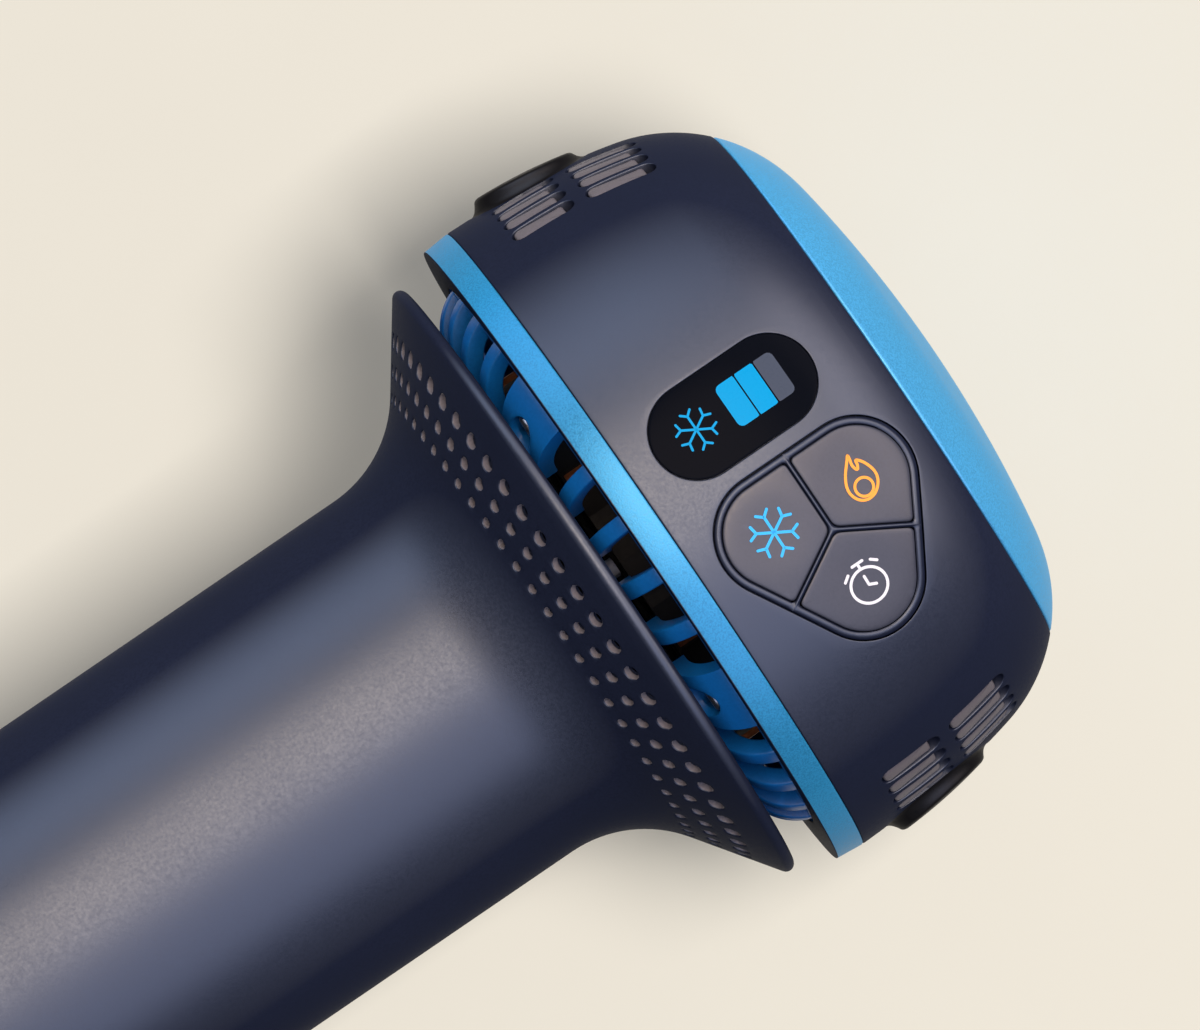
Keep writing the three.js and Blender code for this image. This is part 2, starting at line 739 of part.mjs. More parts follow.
// Pan-head screw that points up, with its seat under the head at zero height
function screw(shank, head, headHeight, length) {
  return revolve([
    [0, -headHeight],
    [head, -headHeight],
    [head, 0],
    [shank, 0],
    [shank, length],
    [0, length],
  ], tinySteps);
}

function buildNeck() {
  const bore = spigotRadius - neckWall;
  const tube = revolve([
    [bore, cageTop],
    [spigotRadius, cageTop],
    [spigotRadius, flangeBottom],
    [bowlRollReach, flangeBottom],
    [bowlRollReach, bowlBottom],
    [fanBore, bowlBottom],
    [bore, flangeBottom],
  ], innerSteps);
  const windowBottom = cageTop + neckCollar;
  const windowShape = new THREE.Shape();
  const half = (neckWindowShare * Math.PI * spigotRadius) / neckWindows;
  windowShape.moveTo(-half, windowBottom);
  windowShape.lineTo(half, windowBottom);
  windowShape.lineTo(half, flangeBottom - neckCollar);
  windowShape.lineTo(-half, flangeBottom - neckCollar);
  const windows = Array.from({ length: neckWindows }, (_, i) => {
    const angle = (i * turn) / neckWindows;
    return solidOf(extruded(windowShape, spigotRadius + overrun).applyMatrix4(outwardFrame(angle)));
  });
  const holes = neckScrewSpots.flatMap((spot) => {
    const driver = [spot.x, spot.y, flangeBottom - neckCollar / 2];
    return [
      rod(neckScrewRadius + seatGap, 2 * (neckFlange + overrun), up, spot),
      rod(neckScrewHead + seatGap, neckCollar, up, driver),
    ];
  });
  place('neck_frame', tube.subtract(joined([...windows, ...holes])), darkPlastic);
  const neckScrew = screw(neckScrewRadius, neckScrewHead, neckScrewHeadHeight, neckFlange + neckScrewBite);
  neckScrewSpots.forEach((spot, i) => place(`neck_screw_${i + 1}`, neckScrew, steel, spot));
}

// Vane bowl: a rolled wall cut into fins, with four solid bosses for its screws

const bossSpots = bossAngles.map((angle) => atAngle(bowlScrewReach, fromFront(angle), 0));
const bossSeatZ = bowlBottom + bowlScrewDepth;

// Opening between two neighbouring fins, wider outwards so that the fins keep one thickness
function vaneGap(angle) {
  const half = Math.PI / vanePositions;
  const inner = bowlRollReach;
  const outer = bowlRadius + overrun;
  const offset = vaneThickness / 2 / Math.cos(half);
  const shape = new THREE.Shape();
  shape.moveTo(inner, -inner * Math.tan(half) + offset);
  shape.lineTo(outer, -outer * Math.tan(half) + offset);
  shape.lineTo(outer, outer * Math.tan(half) - offset);
  shape.lineTo(inner, inner * Math.tan(half) - offset);
  const depth = trimBottom - bowlBottom + overrun;
  return solidOf(extruded(shape, depth).translate(0, 0, bowlBottom - overrun).rotateZ(angle));
}

function buildBowl() {
  const innerRoll = bowlRollRadius - bowlWall;
  const spigotBore = bowlRadius - bowlSpigotWall;
  const rimAngle = Math.asin((trimBottom - bowlRollZ) / bowlRollRadius);
  const wall = revolve([
    [fanBore, bowlBottom],
    ...arc(bowlRollReach, bowlRollZ, bowlRollRadius, -turn / 4, rimAngle, rollSteps),
    [bowlRadius, bowlTop],
    [spigotBore, bowlTop],
    ...arc(spigotBore - innerRoll, bowlRollZ, innerRoll, 0, -turn / 4, bendSteps),
    [fanBore, fanBottom],
  ], vanePositions, fromFront(0));
  const gaps = [];
  for (let slot = 0; slot < vanePositions; slot += 1) {
    if (!bossSlots.includes(slot)) gaps.push(vaneGap(fromFront((slot * turn) / vanePositions)));
  }
  const rollVolume = revolve([
    [0, bowlBottom],
    ...arc(bowlRollReach, bowlRollZ, bowlRollRadius, -turn / 4, rimAngle, rollSteps),
    [bowlRadius, bowlTop],
    [0, bowlTop],
  ], vanePositions, fromFront(0));
  const bosses = bossSpots.map((spot) => {
    const radius = postRadius + seatGap;
    const post = rod(radius, bowlTop - bowlBottom, up, [spot.x, spot.y, (bowlTop + bowlBottom) / 2]);
    return post.intersect(rollVolume);
  });
  const shanks = bossSpots.map((spot) => {
    const length = 2 * (bowlTop - bossSeatZ + overrun);
    return rod(bowlScrewRadius + seatGap, length, up, [spot.x, spot.y, bossSeatZ]);
  });
  const heads = bossSpots.map((spot) => {
    const length = bossSeatZ - bowlBottom + overrun;
    return rod(bowlScrewHead + runningGap, length, up, [spot.x, spot.y, bossSeatZ - length / 2]);
  });
  const neckHoles = neckScrewSpots.map((spot) => {
    const reach = neckScrewBite + runningGap;
    return rod(neckScrewRadius + runningGap / 2, 2 * reach, up, [spot.x, spot.y, bowlBottom]);
  });
  const cuts = joined([...gaps, ...shanks, ...heads, ...neckHoles]);
  place('vane_bowl', joined([wall, ...bosses]).subtract(cuts), vaneBlue);

  const socket = rod(bowlScrewSocket, bowlScrewHeadHeight, up, [0, 0, -bowlScrewHeadHeight], holeSteps);
  const bowlScrew = screw(bowlScrewRadius, bowlScrewHead, bowlScrewHeadHeight, bowlScrewLength);
  bossSpots.forEach((spot, i) => {
    place(`bowl_screw_${i + 1}`, bowlScrew.subtract(socket), steel, spot.clone().setZ(bossSeatZ));
  });
}

// Trim ring between the bowl and the housing
function buildTrim() {
  const bottomRadius = headRadius - trimSetback;
  place('trim_ring', revolve([
    [bowlRadius + seatGap, trimBottom],
    ...arc(bottomRadius - trimEdge, trimBottom + trimEdge, trimEdge, -turn / 4, 0, bendSteps),
    [headRadius, housingBottom],
    [bowlRadius + seatGap, housingBottom],
  ], headSteps), anodised);
}

// Side vents, and the caps between them

const sideTurns = { right: 0, left: turn / 2 };
const ventFirstAngle = Math.asin((sideCapRadius + runningGap + ventWidth / 2) / headRadius);
const ventPitch = (ventWidth + ventBar) / headRadius;
const ventRows = [
  { bottom: ventLowerRise, height: ventLowerHeight },
  { bottom: ventUpperRise, height: ventUpperHeight },
];
const ventAngles = [];
for (let column = 0; column < ventColumns; column += 1) {
  const angle = ventFirstAngle + column * ventPitch;
  ventAngles.push(angle, -angle);
}

function ventSlot(angle, { bottom, height }) {
  const low = housingBottom + bottom;
  const near = skinRadiusAt(low + height, housingWall) - overrun;
  const far = headRadius + overrun;
  const slot = new THREE.BoxGeometry(far - near, ventWidth, height);
  return solidOf(slot.translate((near + far) / 2, 0, low + height / 2).rotateZ(angle));
}

// Sloping tongue that fills a slot up to the opening at its top end, given in the frame of its louvre
function louvreTongue(angle, root, { bottom, height }) {
  const low = housingBottom + bottom + runningGap;
  const high = housingBottom + bottom + height - louvreOpening;
  const shape = new THREE.Shape();
  shape.moveTo(root, low);
  shape.lineTo(skinRadiusAt(low) - louvreRecess, low);
  shape.lineTo(skinRadiusAt(high) - louvreRecess - louvreFall, high);
  shape.lineTo(root, high);
  const width = ventWidth - 2 * runningGap;
  const geometry = extruded(shape, width).rotateX(Math.PI / 2).translate(0, width / 2, 0);
  return solidOf(geometry.rotateZ(angle));
}

// Flat insert behind one group of slots, square to the group's middle, with a way through above the
// tongues of each row
function ventLouvre() {
  const bottom = housingBottom + ventRows[0].bottom - louvreMargin;
  const top = housingBottom + ventRows[1].bottom + ventRows[1].height + louvreMargin;
  const halfWidth = headRadius * Math.sin(((ventColumns - 1) / 2) * ventPitch) + ventWidth / 2 + seatGap;
  const back = Math.sqrt(skinRadiusAt(top, housingWall) ** 2 - halfWidth ** 2) - seatGap - louvreThickness;
  const plate = block([back, -halfWidth, bottom], [back + louvreThickness, halfWidth, top]);
  const tongues = [];
  for (let column = 0; column < ventColumns; column += 1) {
    const angle = (column - (ventColumns - 1) / 2) * ventPitch;
    ventRows.forEach((row) => tongues.push(louvreTongue(angle, back + louvreThickness / 2, row)));
  }
  const ways = ventRows.map(({ bottom: rowBottom, height }) => {
    const rowTop = housingBottom + rowBottom + height;
    const half = halfWidth - seatGap - runningGap;
    return block([back - overrun, -half, rowTop - louvreOpening], [back + overrun, half, rowTop]);
  });
  return joined([plate, ...tongues]).subtract(joined(ways));
}

const sideCapZ = housingBottom + sideCapRise;
const sideCapX = skinRadiusAt(sideCapZ) + sideCapProud;

// Something about the axis of a side cap, whose own profile runs outwards along its height. It is given
// for the right side, and is turned to its own side afterwards.
function onSideCapAxis(profile, steps, turned = 0) {
  const points = profile.map(([r, z]) => new THREE.Vector2(r, z));
  const geometry = new THREE.LatheGeometry(points, steps).rotateX(Math.PI / 2);
  geometry.rotateY(Math.PI / 2 - sideCapTilt).translate(sideCapX, 0, sideCapZ);
  return solidOf(geometry.rotateZ(turned));
}

function sideCapHole(turned) {
  const depth = sideCapDepth + seatGap;
  return onSideCapAxis([
    [0, -depth - sideCapSpigotLength - overrun],
    [sideCapSpigot + runningGap, -depth - sideCapSpigotLength - overrun],
    [sideCapSpigot + runningGap, -depth],
    [sideCapRadius + runningGap, -depth],
    [sideCapRadius + runningGap, overrun],
    [0, overrun],
  ], smallSteps, turned);
}

function buildSides() {
  const cap = onSideCapAxis([
    [0, -sideCapDepth - sideCapSpigotLength],
    [sideCapSpigot, -sideCapDepth - sideCapSpigotLength],
    [sideCapSpigot, -sideCapDepth],
    [sideCapRadius, -sideCapDepth],
    [sideCapRadius, -sideCapEdge - sideCapCrown],
    [sideCapRadius - sideCapEdge, -sideCapCrown],
    [sideCapRadius / 2, -sideCapCrown / 4],
    [0, 0],
  ], smallSteps);
  Object.entries(sideTurns).forEach(([side, turned]) => {
    place(`side_cap_${side}`, cap, capBlack, new THREE.Vector3(), turned);
  });
  const louvre = ventLouvre();
  const middle = ventFirstAngle + ((ventColumns - 1) / 2) * ventPitch;
  Object.entries(sideTurns).forEach(([side, turned]) => {
    const forward = side === 'right' ? -middle : middle;
    place(`vent_louvre_${side}_front`, louvre, ventGrey, new THREE.Vector3(), turned + forward);
    place(`vent_louvre_${side}_rear`, louvre, ventGrey, new THREE.Vector3(), turned - forward);
  });
}

// Head housing

const lensZ = housingBottom + displayRise;
const postTopZ = bowlTop + postHeight;
const boardHalfWidth = bowlScrewReach * Math.sin(bossAngles[0]) + boardOverPost;

function lensOutline(grow) {
  const width = lensWidth + 2 * grow;
  return movedShape(roundedRectangle(width, lensHeight + 2 * grow, width / 2), lensX, lensZ);
}

function screwPosts() {
  return joined(bossAngles.flatMap((angle, i) => {
    const spot = bossSpots[i];
    const middle = (bowlTop + postTopZ) / 2;
    const post = rod(postRadius, postHeight, up, [spot.x, spot.y, middle]);
    const reach = headRadius - housingWall / 2 - bowlScrewReach;
    const rib = new THREE.BoxGeometry(reach, postRibWidth, postHeight);
    rib.translate(bowlScrewReach + reach / 2, 0, middle).rotateZ(fromFront(angle));
    return [post, solidOf(rib)];
  }));
}

// Two columns that stand on the front posts and hold the board by its edges
function boardRails() {
  const top = housingBottom + boardRise + boardHeight;
  return joined([1, -1].map((side) => {
    const near = side * (boardHalfWidth + seatGap);
    const far = near + side * railWidth;
    const low = [Math.min(near, far), boardFront - railLip, bowlTop];
    return block(low, [Math.max(near, far), boardBack + railDepth, top]);
  })).intersect(headSolid(keypadBackInset + seatGap));
}

function buildHousing() {
  const walls = revolve([
    [bowlRadius + seatGap, housingBottom],
    [headRadius, housingBottom],
    ...skinProfile(0, seamAngle(0), cornerSteps),
    ...skinProfile(housingWall, seamAngle(housingWall), bendSteps).reverse(),
    [skinRadiusAt(bowlTop, housingWall), bowlTop],
    [bowlRadius + seatGap, bowlTop],
  ], headSteps);
  const keypadRoom = frontPrism(keypadOutline(-keypadFlange - seatGap), -frontReach, guideBack);
  const posts = screwPosts().subtract(keypadRoom);
  const body = joined([walls, posts, boardRails()]);
  const keypadHole = frontPrism(keypadOutline(0), -frontReach, boardFront);
  const lensPocket = frontPrism(lensOutline(runningGap), -frontReach, 0);
  const pocket = lensPocket.intersect(skinLayer(-overrun, lensThickness + runningGap));
  const window = frontPrism(lensOutline(-lensLedge), -frontReach, boardFront);
  const sideCuts = Object.values(sideTurns).flatMap((turned) => {
    const slots = ventAngles.flatMap((angle) => ventRows.map((row) => ventSlot(turned + angle, row)));
    return [...slots, sideCapHole(turned)];
  });
  const threads = joined(bossSpots.map((spot) => {
    const length = 2 * (bowlScrewLength - (bowlTop - bossSeatZ) + runningGap);
    return rod(bowlScrewRadius + runningGap / 2, length, up, [spot.x, spot.y, bowlTop]);
  }));
  place('head_housing', body.subtract(joined([keypadHole, pocket, window, threads, ...sideCuts])), softTouch);
}

// Display, keypad and the board behind them

function buildDisplay() {
  const lens = frontPrism(lensOutline(0), -frontReach, 0).intersect(skinLayer(0, lensThickness));
  place('display_lens', lens, pianoBlack);
  const low = [lensX - moduleWidth / 2, -frontReach, lensZ - moduleHeight / 2];
  const high = [lensX + moduleWidth / 2, boardFront, lensZ + moduleHeight / 2];
  const display = block(low, high).intersect(headSolid(housingWall + seatGap));
  place('display_module', display, darkPlastic);
}

function buildKeypad() {
  const front = -frontReach;
  const rimOuter = frontPrism(keypadOutline(keypadGroove), front, 0);
  const rimInner = frontPrism(keypadOutline(keypadGroove + keypadRim), front, 0);
  const depths = skinLayer(0, keypadBackInset);
  const wells = joined(keySpots.map((spot) => frontPrism(keyWedge(spot, 0), front, 0)));
  const grid = rimOuter.subtract(wells.intersect(rimInner)).intersect(depths);
  const flange = frontPrism(keypadOutline(-keypadFlange), front, 0);
  const overLedge = disc(frontReach, bowlTop + seatGap, seamZ, innerSteps);
  const plate = flange.intersect(skinLayer(keypadPlateInset, keypadBackInset)).intersect(overLedge);
  const guides = keySpots.map(({ x, z }) => {
    const start = keypadPlateInset + keypadPlate / 2 - faceDepth(x + keyGuideRadius, z);
    const from = Math.min(start, keypadPlateInset + keypadPlate / 2 - faceDepth(x, z));
    return frontRod(keyGuideRadius, x, z, from, guideBack);
  });
  const inside = headSolid(keypadPlateInset);
  const bores = keySpots.map(({ x, z }) => frontRod(keyStemRadius + seatGap, x, z, front, 0));
  const surround = joined([grid, plate, joined(guides).intersect(inside)]).subtract(joined(bores));
  place('keypad_surround', surround, softTouch);

  const keyField = frontPrism(keypadOutline(keypadGroove + keypadRim + runningGap), front, 0);
  keySpots.forEach((spot) => {
    const wedge = frontPrism(keyWedge(spot, runningGap), front, 0);
    const cap = keyField.intersect(wedge).intersect(skinLayer(0, keyThickness));
    const stemFront = keyThickness / 2 - faceDepth(spot.x, spot.z);
    const stem = frontRod(keyStemRadius, spot.x, spot.z, stemFront, keyTipBack);
    const clip = frontRod(keyClipRadius, spot.x, spot.z, clipFront, clipBack);
    place(`button_${spot.name}`, joined([cap, stem, clip]), softTouch);
    const half = switchSide / 2;
    const low = [spot.x - half, switchTop + switchStemHeight, spot.z - half];
    const plunger = frontRod(switchStemRadius, spot.x, spot.z, switchTop, boardFront - switchHeight / 2);
    const body = block(low, [spot.x + half, boardFront, spot.z + half]);
    place(`switch_${spot.name}`, body.add(plunger), darkPlastic);
  });
}

function buildBoard() {
  const bottom = housingBottom + boardRise;
  const low = [-boardHalfWidth, boardFront, bottom];
  const sheet = block(low, [boardHalfWidth, boardBack, bottom + boardHeight]);
  const clearance = joined(bossSpots.map((spot) => {
    return rod(postRadius + seatGap, 2 * (postHeight + seatGap), up, [spot.x, spot.y, bowlTop]);
  }));
  place('main_board', sheet.subtract(clearance).intersect(headSolid(housingWall + seatGap)), boardGreen);
}

// Contact plate and the thermal stack that hangs under it

const stackScrewReach = sinkRadius - stackScrewEdge;
const peltierSide = 2 * (stackScrewReach - peltierScrewGap);
const peltierBottom = seamZ - peltierThickness;
const sinkBottom = peltierBottom - sinkBase;
const stackScrewSpots = Array.from({ length: stackScrewCount }, (_, i) => {
  return atAngle(stackScrewReach, (i * turn) / stackScrewCount, sinkBottom);
});
const sensorSpot = atAngle(stackScrewReach, sensorAngle, 0);

function buildContactPlate() {
  const seamInner = shoulderR + (shoulderRadius - housingWall) * Math.cos(seamAngle(housingWall));
  const spigotOuter = seamInner - seatGap;
  const spigotInner = spigotOuter - plateSpigotWall;
  const plate = revolve([
    [0, seamZ],
    [spigotInner, seamZ],
    [spigotInner, seamZ - plateSpigotHeight],
    [spigotOuter, seamZ - plateSpigotHeight],
    [spigotOuter, seamZ],
    ...arc(shoulderR, shoulderZ, shoulderRadius, seamAngle(0), shoulderEnd, filletSteps),
    ...arc(0, crownZ, crownRadius, shoulderEnd, turn / 4, bendSteps).slice(1, -1),
    [0, crownZ + crownRadius],
  ], headSteps);
  const blindHole = (radius, bite, spot) => rod(radius, 2 * (bite + runningGap), up, [spot.x, spot.y, seamZ]);
  const screwHoleRadius = stackScrewRadius + runningGap / 2;
  const holes = stackScrewSpots.map((spot) => blindHole(screwHoleRadius, stackScrewBite, spot));
  holes.push(blindHole(sensorRadius + runningGap, sensorBite, sensorSpot));
  place('contact_plate', plate.subtract(joined(holes)), anodised);
  return spigotInner;
}

function buildThermalStack(spigotInner) {
  const half = peltierSide / 2;
  place('thermoelectric_module', block([-half, -half, peltierBottom], [half, half, seamZ]), ceramicWhite);

  const well = half + insulatorGap;
  const sheet = disc(spigotInner - seatGap, peltierBottom, seamZ - runningGap, innerSteps);
  const window = block([-well, -well, peltierBottom - overrun], [well, well, seamZ + overrun]);
  const ways = stackScrewSpots.map((spot) => {
    return rod(stackScrewRadius + seatGap, 2 * (peltierThickness + overrun), up, [spot.x, spot.y, seamZ]);
  });
  const sensorLength = peltierThickness + sensorBite;
  const sensorWay = rod(sensorRadius + seatGap, 2 * sensorLength, up, [sensorSpot.x, sensorSpot.y, seamZ]);
  place('plate_insulator', sheet.subtract(joined([window, ...ways, sensorWay])), foamGrey);
  const sensor = rod(sensorRadius, sensorLength, up, [0, 0, sensorLength / 2]);
  place('temperature_sensor', sensor, steel, new THREE.Vector3(sensorSpot.x, sensorSpot.y, peltierBottom));

  const innerFinBottom = fanTop + sinkFanGap;
  const annulus = fanRadius + seatGap;
  const finReach = sinkRadius - sinkFinThickness;
  const fin = new THREE.Shape();
  fin.moveTo(sinkCoreRadius, innerFinBottom);
  fin.lineTo(annulus, innerFinBottom);
  fin.lineTo(annulus, fanBottom + seatGap);
  fin.lineTo(finReach, fanBottom + seatGap);
  fin.lineTo(finReach, sinkBottom + sinkBase / 2);
  fin.lineTo(sinkCoreRadius, sinkBottom + sinkBase / 2);
  const fins = Array.from({ length: sinkFins }, (_, i) => {
    const geometry = extruded(fin, sinkFinThickness).rotateX(Math.PI / 2);
    geometry.translate(0, sinkFinThickness / 2, 0).rotateZ(((i + 1 / 2) * turn) / sinkFins);
    return solidOf(geometry);
  });
  const base = disc(sinkRadius, sinkBottom, peltierBottom, innerSteps);
  const wells = stackScrewSpots.flatMap((spot) => {
    const wellHeight = sinkBottom - fanBottom;
    const driver = [spot.x, spot.y, sinkBottom - wellHeight / 2];
    return [
      rod(stackScrewHead + seatGap, wellHeight, up, driver),
      rod(stackScrewRadius + seatGap, 2 * (sinkBase + overrun), up, [spot.x, spot.y, sinkBottom]),
    ];
  });
  place('heat_sink', joined([base, ...fins]).subtract(joined(wells)), copper);
  const length = sinkBase + peltierThickness + stackScrewBite;
  const stackScrew = screw(stackScrewRadius, stackScrewHead, stackScrewHeadHeight, length);
  stackScrewSpots.forEach((spot, i) => place(`heat_sink_screw_${i + 1}`, stackScrew, steel, spot));
}

// Fan: frame with a bearing post, wound stator, and rotor

function fanBlade() {
  const halfChord = fanBladeChord / 2;
  const shape = new THREE.Shape();
  shape.moveTo(-halfChord, 0);
  shape.quadraticCurveTo(0, 2 * fanBladeCamber, halfChord, 0);
  shape.lineTo(halfChord, fanBladeThickness);
  shape.quadraticCurveTo(0, 2 * fanBladeCamber + fanBladeThickness, -halfChord, fanBladeThickness);
  const root = fanHubRadius - fanHubWall / 2;
  const geometry = extruded(shape, fanRotorRadius + overrun - root);
  return geometry.rotateZ(fanBladePitch).translate(0, 0, root).applyMatrix4(outwardFrame(0));
}

function buildFan() {
  const baseTop = fanBaseThickness;
  const frame = ring(fanBore, fanRadius, 0, fanHeight, innerSteps);
  const base = disc(fanHubRadius, 0, baseTop);
  const strutLength = fanBore + fanWall / 2;
  const struts = Array.from({ length: fanStruts }, (_, i) => {
    const strut = new THREE.BoxGeometry(strutLength, fanStrutWidth, fanBaseThickness);
    strut.translate(strutLength / 2, 0, fanBaseThickness / 2).rotateZ(((i + 1 / 2) * turn) / fanStruts);
    return solidOf(strut);
  });
  const bearingBore = fanShaftRadius + seatGap;
  const bearingRadius = bearingBore + fanBearingWall;
  const capBottom = fanHeight - 2 * seatGap - fanHubWall;
  const bearingTop = capBottom - 2 * seatGap;
  const post = disc(bearingRadius, 0, bearingTop, tinySteps);
  const bore = disc(bearingBore, baseTop, fanHeight, tinySteps);
  const seat = new THREE.Vector3(0, 0, fanBottom);
  place('fan_frame', joined([frame, base, ...struts, post]).subtract(bore), darkPlastic, seat);

  const rotorBore = fanHubRadius - fanHubWall;
  const poleReach = rotorBore - 2 * seatGap;
  const stator = new THREE.Shape();
  for (let i = 0; i < fanPoles; i += 1) {
    const along = new THREE.Vector2(Math.cos((i * turn) / fanPoles), Math.sin((i * turn) / fanPoles));
    const across = new THREE.Vector2(-along.y, along.x);
    const neck = poleReach - fanPoleShoeDepth;
    const root = bearingRadius + fanBearingWall;
    const corners = [
      [root, -fanPoleWidth / 2], [neck, -fanPoleWidth / 2], [neck, -fanPoleShoe / 2],
      [poleReach - fanPoleShoeDepth / 2, -fanPoleShoe / 2], [poleReach, 0],
      [poleReach - fanPoleShoeDepth / 2, fanPoleShoe / 2], [neck, fanPoleShoe / 2],
      [neck, fanPoleWidth / 2], [root, fanPoleWidth / 2],
    ];
    corners.forEach(([far, aside], j) => {
      const p = along.clone().multiplyScalar(far).addScaledVector(across, aside);
      if (i === 0 && j === 0) stator.moveTo(p.x, p.y);
      else stator.lineTo(p.x, p.y);
    });
  }
  const statorBottom = baseTop + seatGap;
  const core = solidOf(extruded(stator, bearingTop - seatGap - statorBottom).translate(0, 0, statorBottom));
  const statorBore = disc(bearingRadius + seatGap, 0, fanHeight, tinySteps);
  place('fan_stator', core.subtract(statorBore), copper, seat);

  const cupBottom = baseTop + 2 * seatGap;
  const cup = revolve([
    [0, capBottom + fanHubWall],
    [fanHubRadius, capBottom + fanHubWall],
    [fanHubRadius, cupBottom],
    [rotorBore, cupBottom],
    [rotorBore, capBottom],
    [fanShaftRadius, capBottom],
    [fanShaftRadius, cupBottom],
    [0, cupBottom],
  ], smallSteps);
  const bladeZ = (cupBottom + capBottom + fanHubWall - 2 * fanBladeCamber) / 2;
  const blades = Array.from({ length: fanBlades }, (_, i) => {
    return solidOf(fanBlade().translate(0, 0, bladeZ).rotateZ((i * turn) / fanBlades));
  });
  const hubMiddle = fanHubRadius - fanHubWall / 2;
  const sweep = ring(hubMiddle, fanRotorRadius, cupBottom, capBottom + fanHubWall, innerSteps);
  const rotor = cup.add(joined(blades).intersect(sweep));
  place('fan_rotor', rotor, darkPlastic, seat);
}

buildHandle();
buildBase();
buildBattery();
buildNeck();
buildBowl();
buildTrim();
buildSides();
buildHousing();
buildDisplay();
buildKeypad();
buildBoard();
buildThermalStack(buildContactPlate());
buildFan();

export default device;
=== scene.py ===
"""Handheld hot and cold therapy device: the visible pieces over its CAD frame, their finishes and the set.

Sizes are in millimetres until a mesh is made, and the frame's axes are kept: the device stands on Z = 0,
its display faces -Y, and +X is to the right of the display. Angles round the device start at the front.
"""

import logging
from collections.abc import Callable, Sequence
from dataclasses import dataclass, field, replace
from enum import Enum
from math import acos, asin, ceil, cos, pi, radians, sin, tan

import bmesh
import bpy
import numpy as np
from mathutils import Matrix, Vector


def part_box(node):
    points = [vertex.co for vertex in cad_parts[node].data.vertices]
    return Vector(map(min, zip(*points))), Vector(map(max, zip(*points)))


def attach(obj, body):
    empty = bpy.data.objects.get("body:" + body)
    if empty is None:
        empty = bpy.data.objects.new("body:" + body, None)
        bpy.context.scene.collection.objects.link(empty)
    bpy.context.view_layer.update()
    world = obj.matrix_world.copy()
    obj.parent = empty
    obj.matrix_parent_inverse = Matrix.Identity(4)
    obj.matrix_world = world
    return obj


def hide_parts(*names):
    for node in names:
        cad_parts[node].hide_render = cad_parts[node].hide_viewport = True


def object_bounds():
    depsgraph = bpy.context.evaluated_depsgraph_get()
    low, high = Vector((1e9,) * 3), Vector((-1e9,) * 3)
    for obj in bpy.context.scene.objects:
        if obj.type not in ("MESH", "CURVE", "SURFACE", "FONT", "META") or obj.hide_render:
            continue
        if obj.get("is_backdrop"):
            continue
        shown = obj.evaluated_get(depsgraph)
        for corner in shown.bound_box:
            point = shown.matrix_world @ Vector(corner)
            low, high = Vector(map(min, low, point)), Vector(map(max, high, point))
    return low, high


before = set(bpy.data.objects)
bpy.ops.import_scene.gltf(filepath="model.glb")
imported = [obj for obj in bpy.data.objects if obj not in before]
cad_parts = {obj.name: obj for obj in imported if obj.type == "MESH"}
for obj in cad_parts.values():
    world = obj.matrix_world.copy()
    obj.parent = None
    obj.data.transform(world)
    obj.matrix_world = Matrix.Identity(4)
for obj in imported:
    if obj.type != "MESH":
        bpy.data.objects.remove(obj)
cad_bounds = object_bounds()

log = logging.getLogger("device")
logging.basicConfig(level=logging.INFO, format="%(name)s: %(message)s")

Array = np.ndarray
Pair = tuple[float, float]
Pairs = tuple[Pair, ...]
Triple = tuple[float, float, float]
Quad = tuple[float, float, float, float]
Surface = Callable[[Array, Array, float], Array]
Hollow = Callable[[Array, Array], Array]
Piece = bpy.types.Object
Socket = bpy.types.NodeSocket

MM = 0.001  # a millimetre in the frame's metres
WELD = 1e-6  # metres: points of a mesh nearer than this become one
SAME = 1e-6  # millimetres: points of a line nearer than this are one
TINY = 1e-9  # least length that a vector is divided by
DENSE = 0.08  # millimetres between the points of a dense line
DENSEST = 0.02  # the same for a loop that is divided at its corners
COARSE = 0.3  # the same round a plate
LEAST_POINTS = 48  # of a loop that is spaced evenly
FINE = 16  # pieces in a rounding that shows
SHARP = 40.0  # degrees between two faces, above which their edge is sharp
TIP_STEPS = 5  # rings in the round end of a printed line
TIP_SHARE = 0.02  # of its width that the outermost ring keeps
TURN = 2 * pi


class Drill(Enum):
    """Way that the wall of an opening runs into a shell."""

    SQUARE = "square to the skin"
    RADIAL = "towards the axis of the shell"
    UPWARD = "along the axis of the shell"


# Lines and loops


def arc(centre: Pair, radius: float, start: float, end: float, steps: int) -> Array:
    """Returns the points of an arc: its centre plus the radius times the cosine and sine of each angle."""
    angles = np.linspace(start, end, steps + 1)
    return np.stack([centre[0] + radius * np.cos(angles), centre[1] + radius * np.sin(angles)], -1)


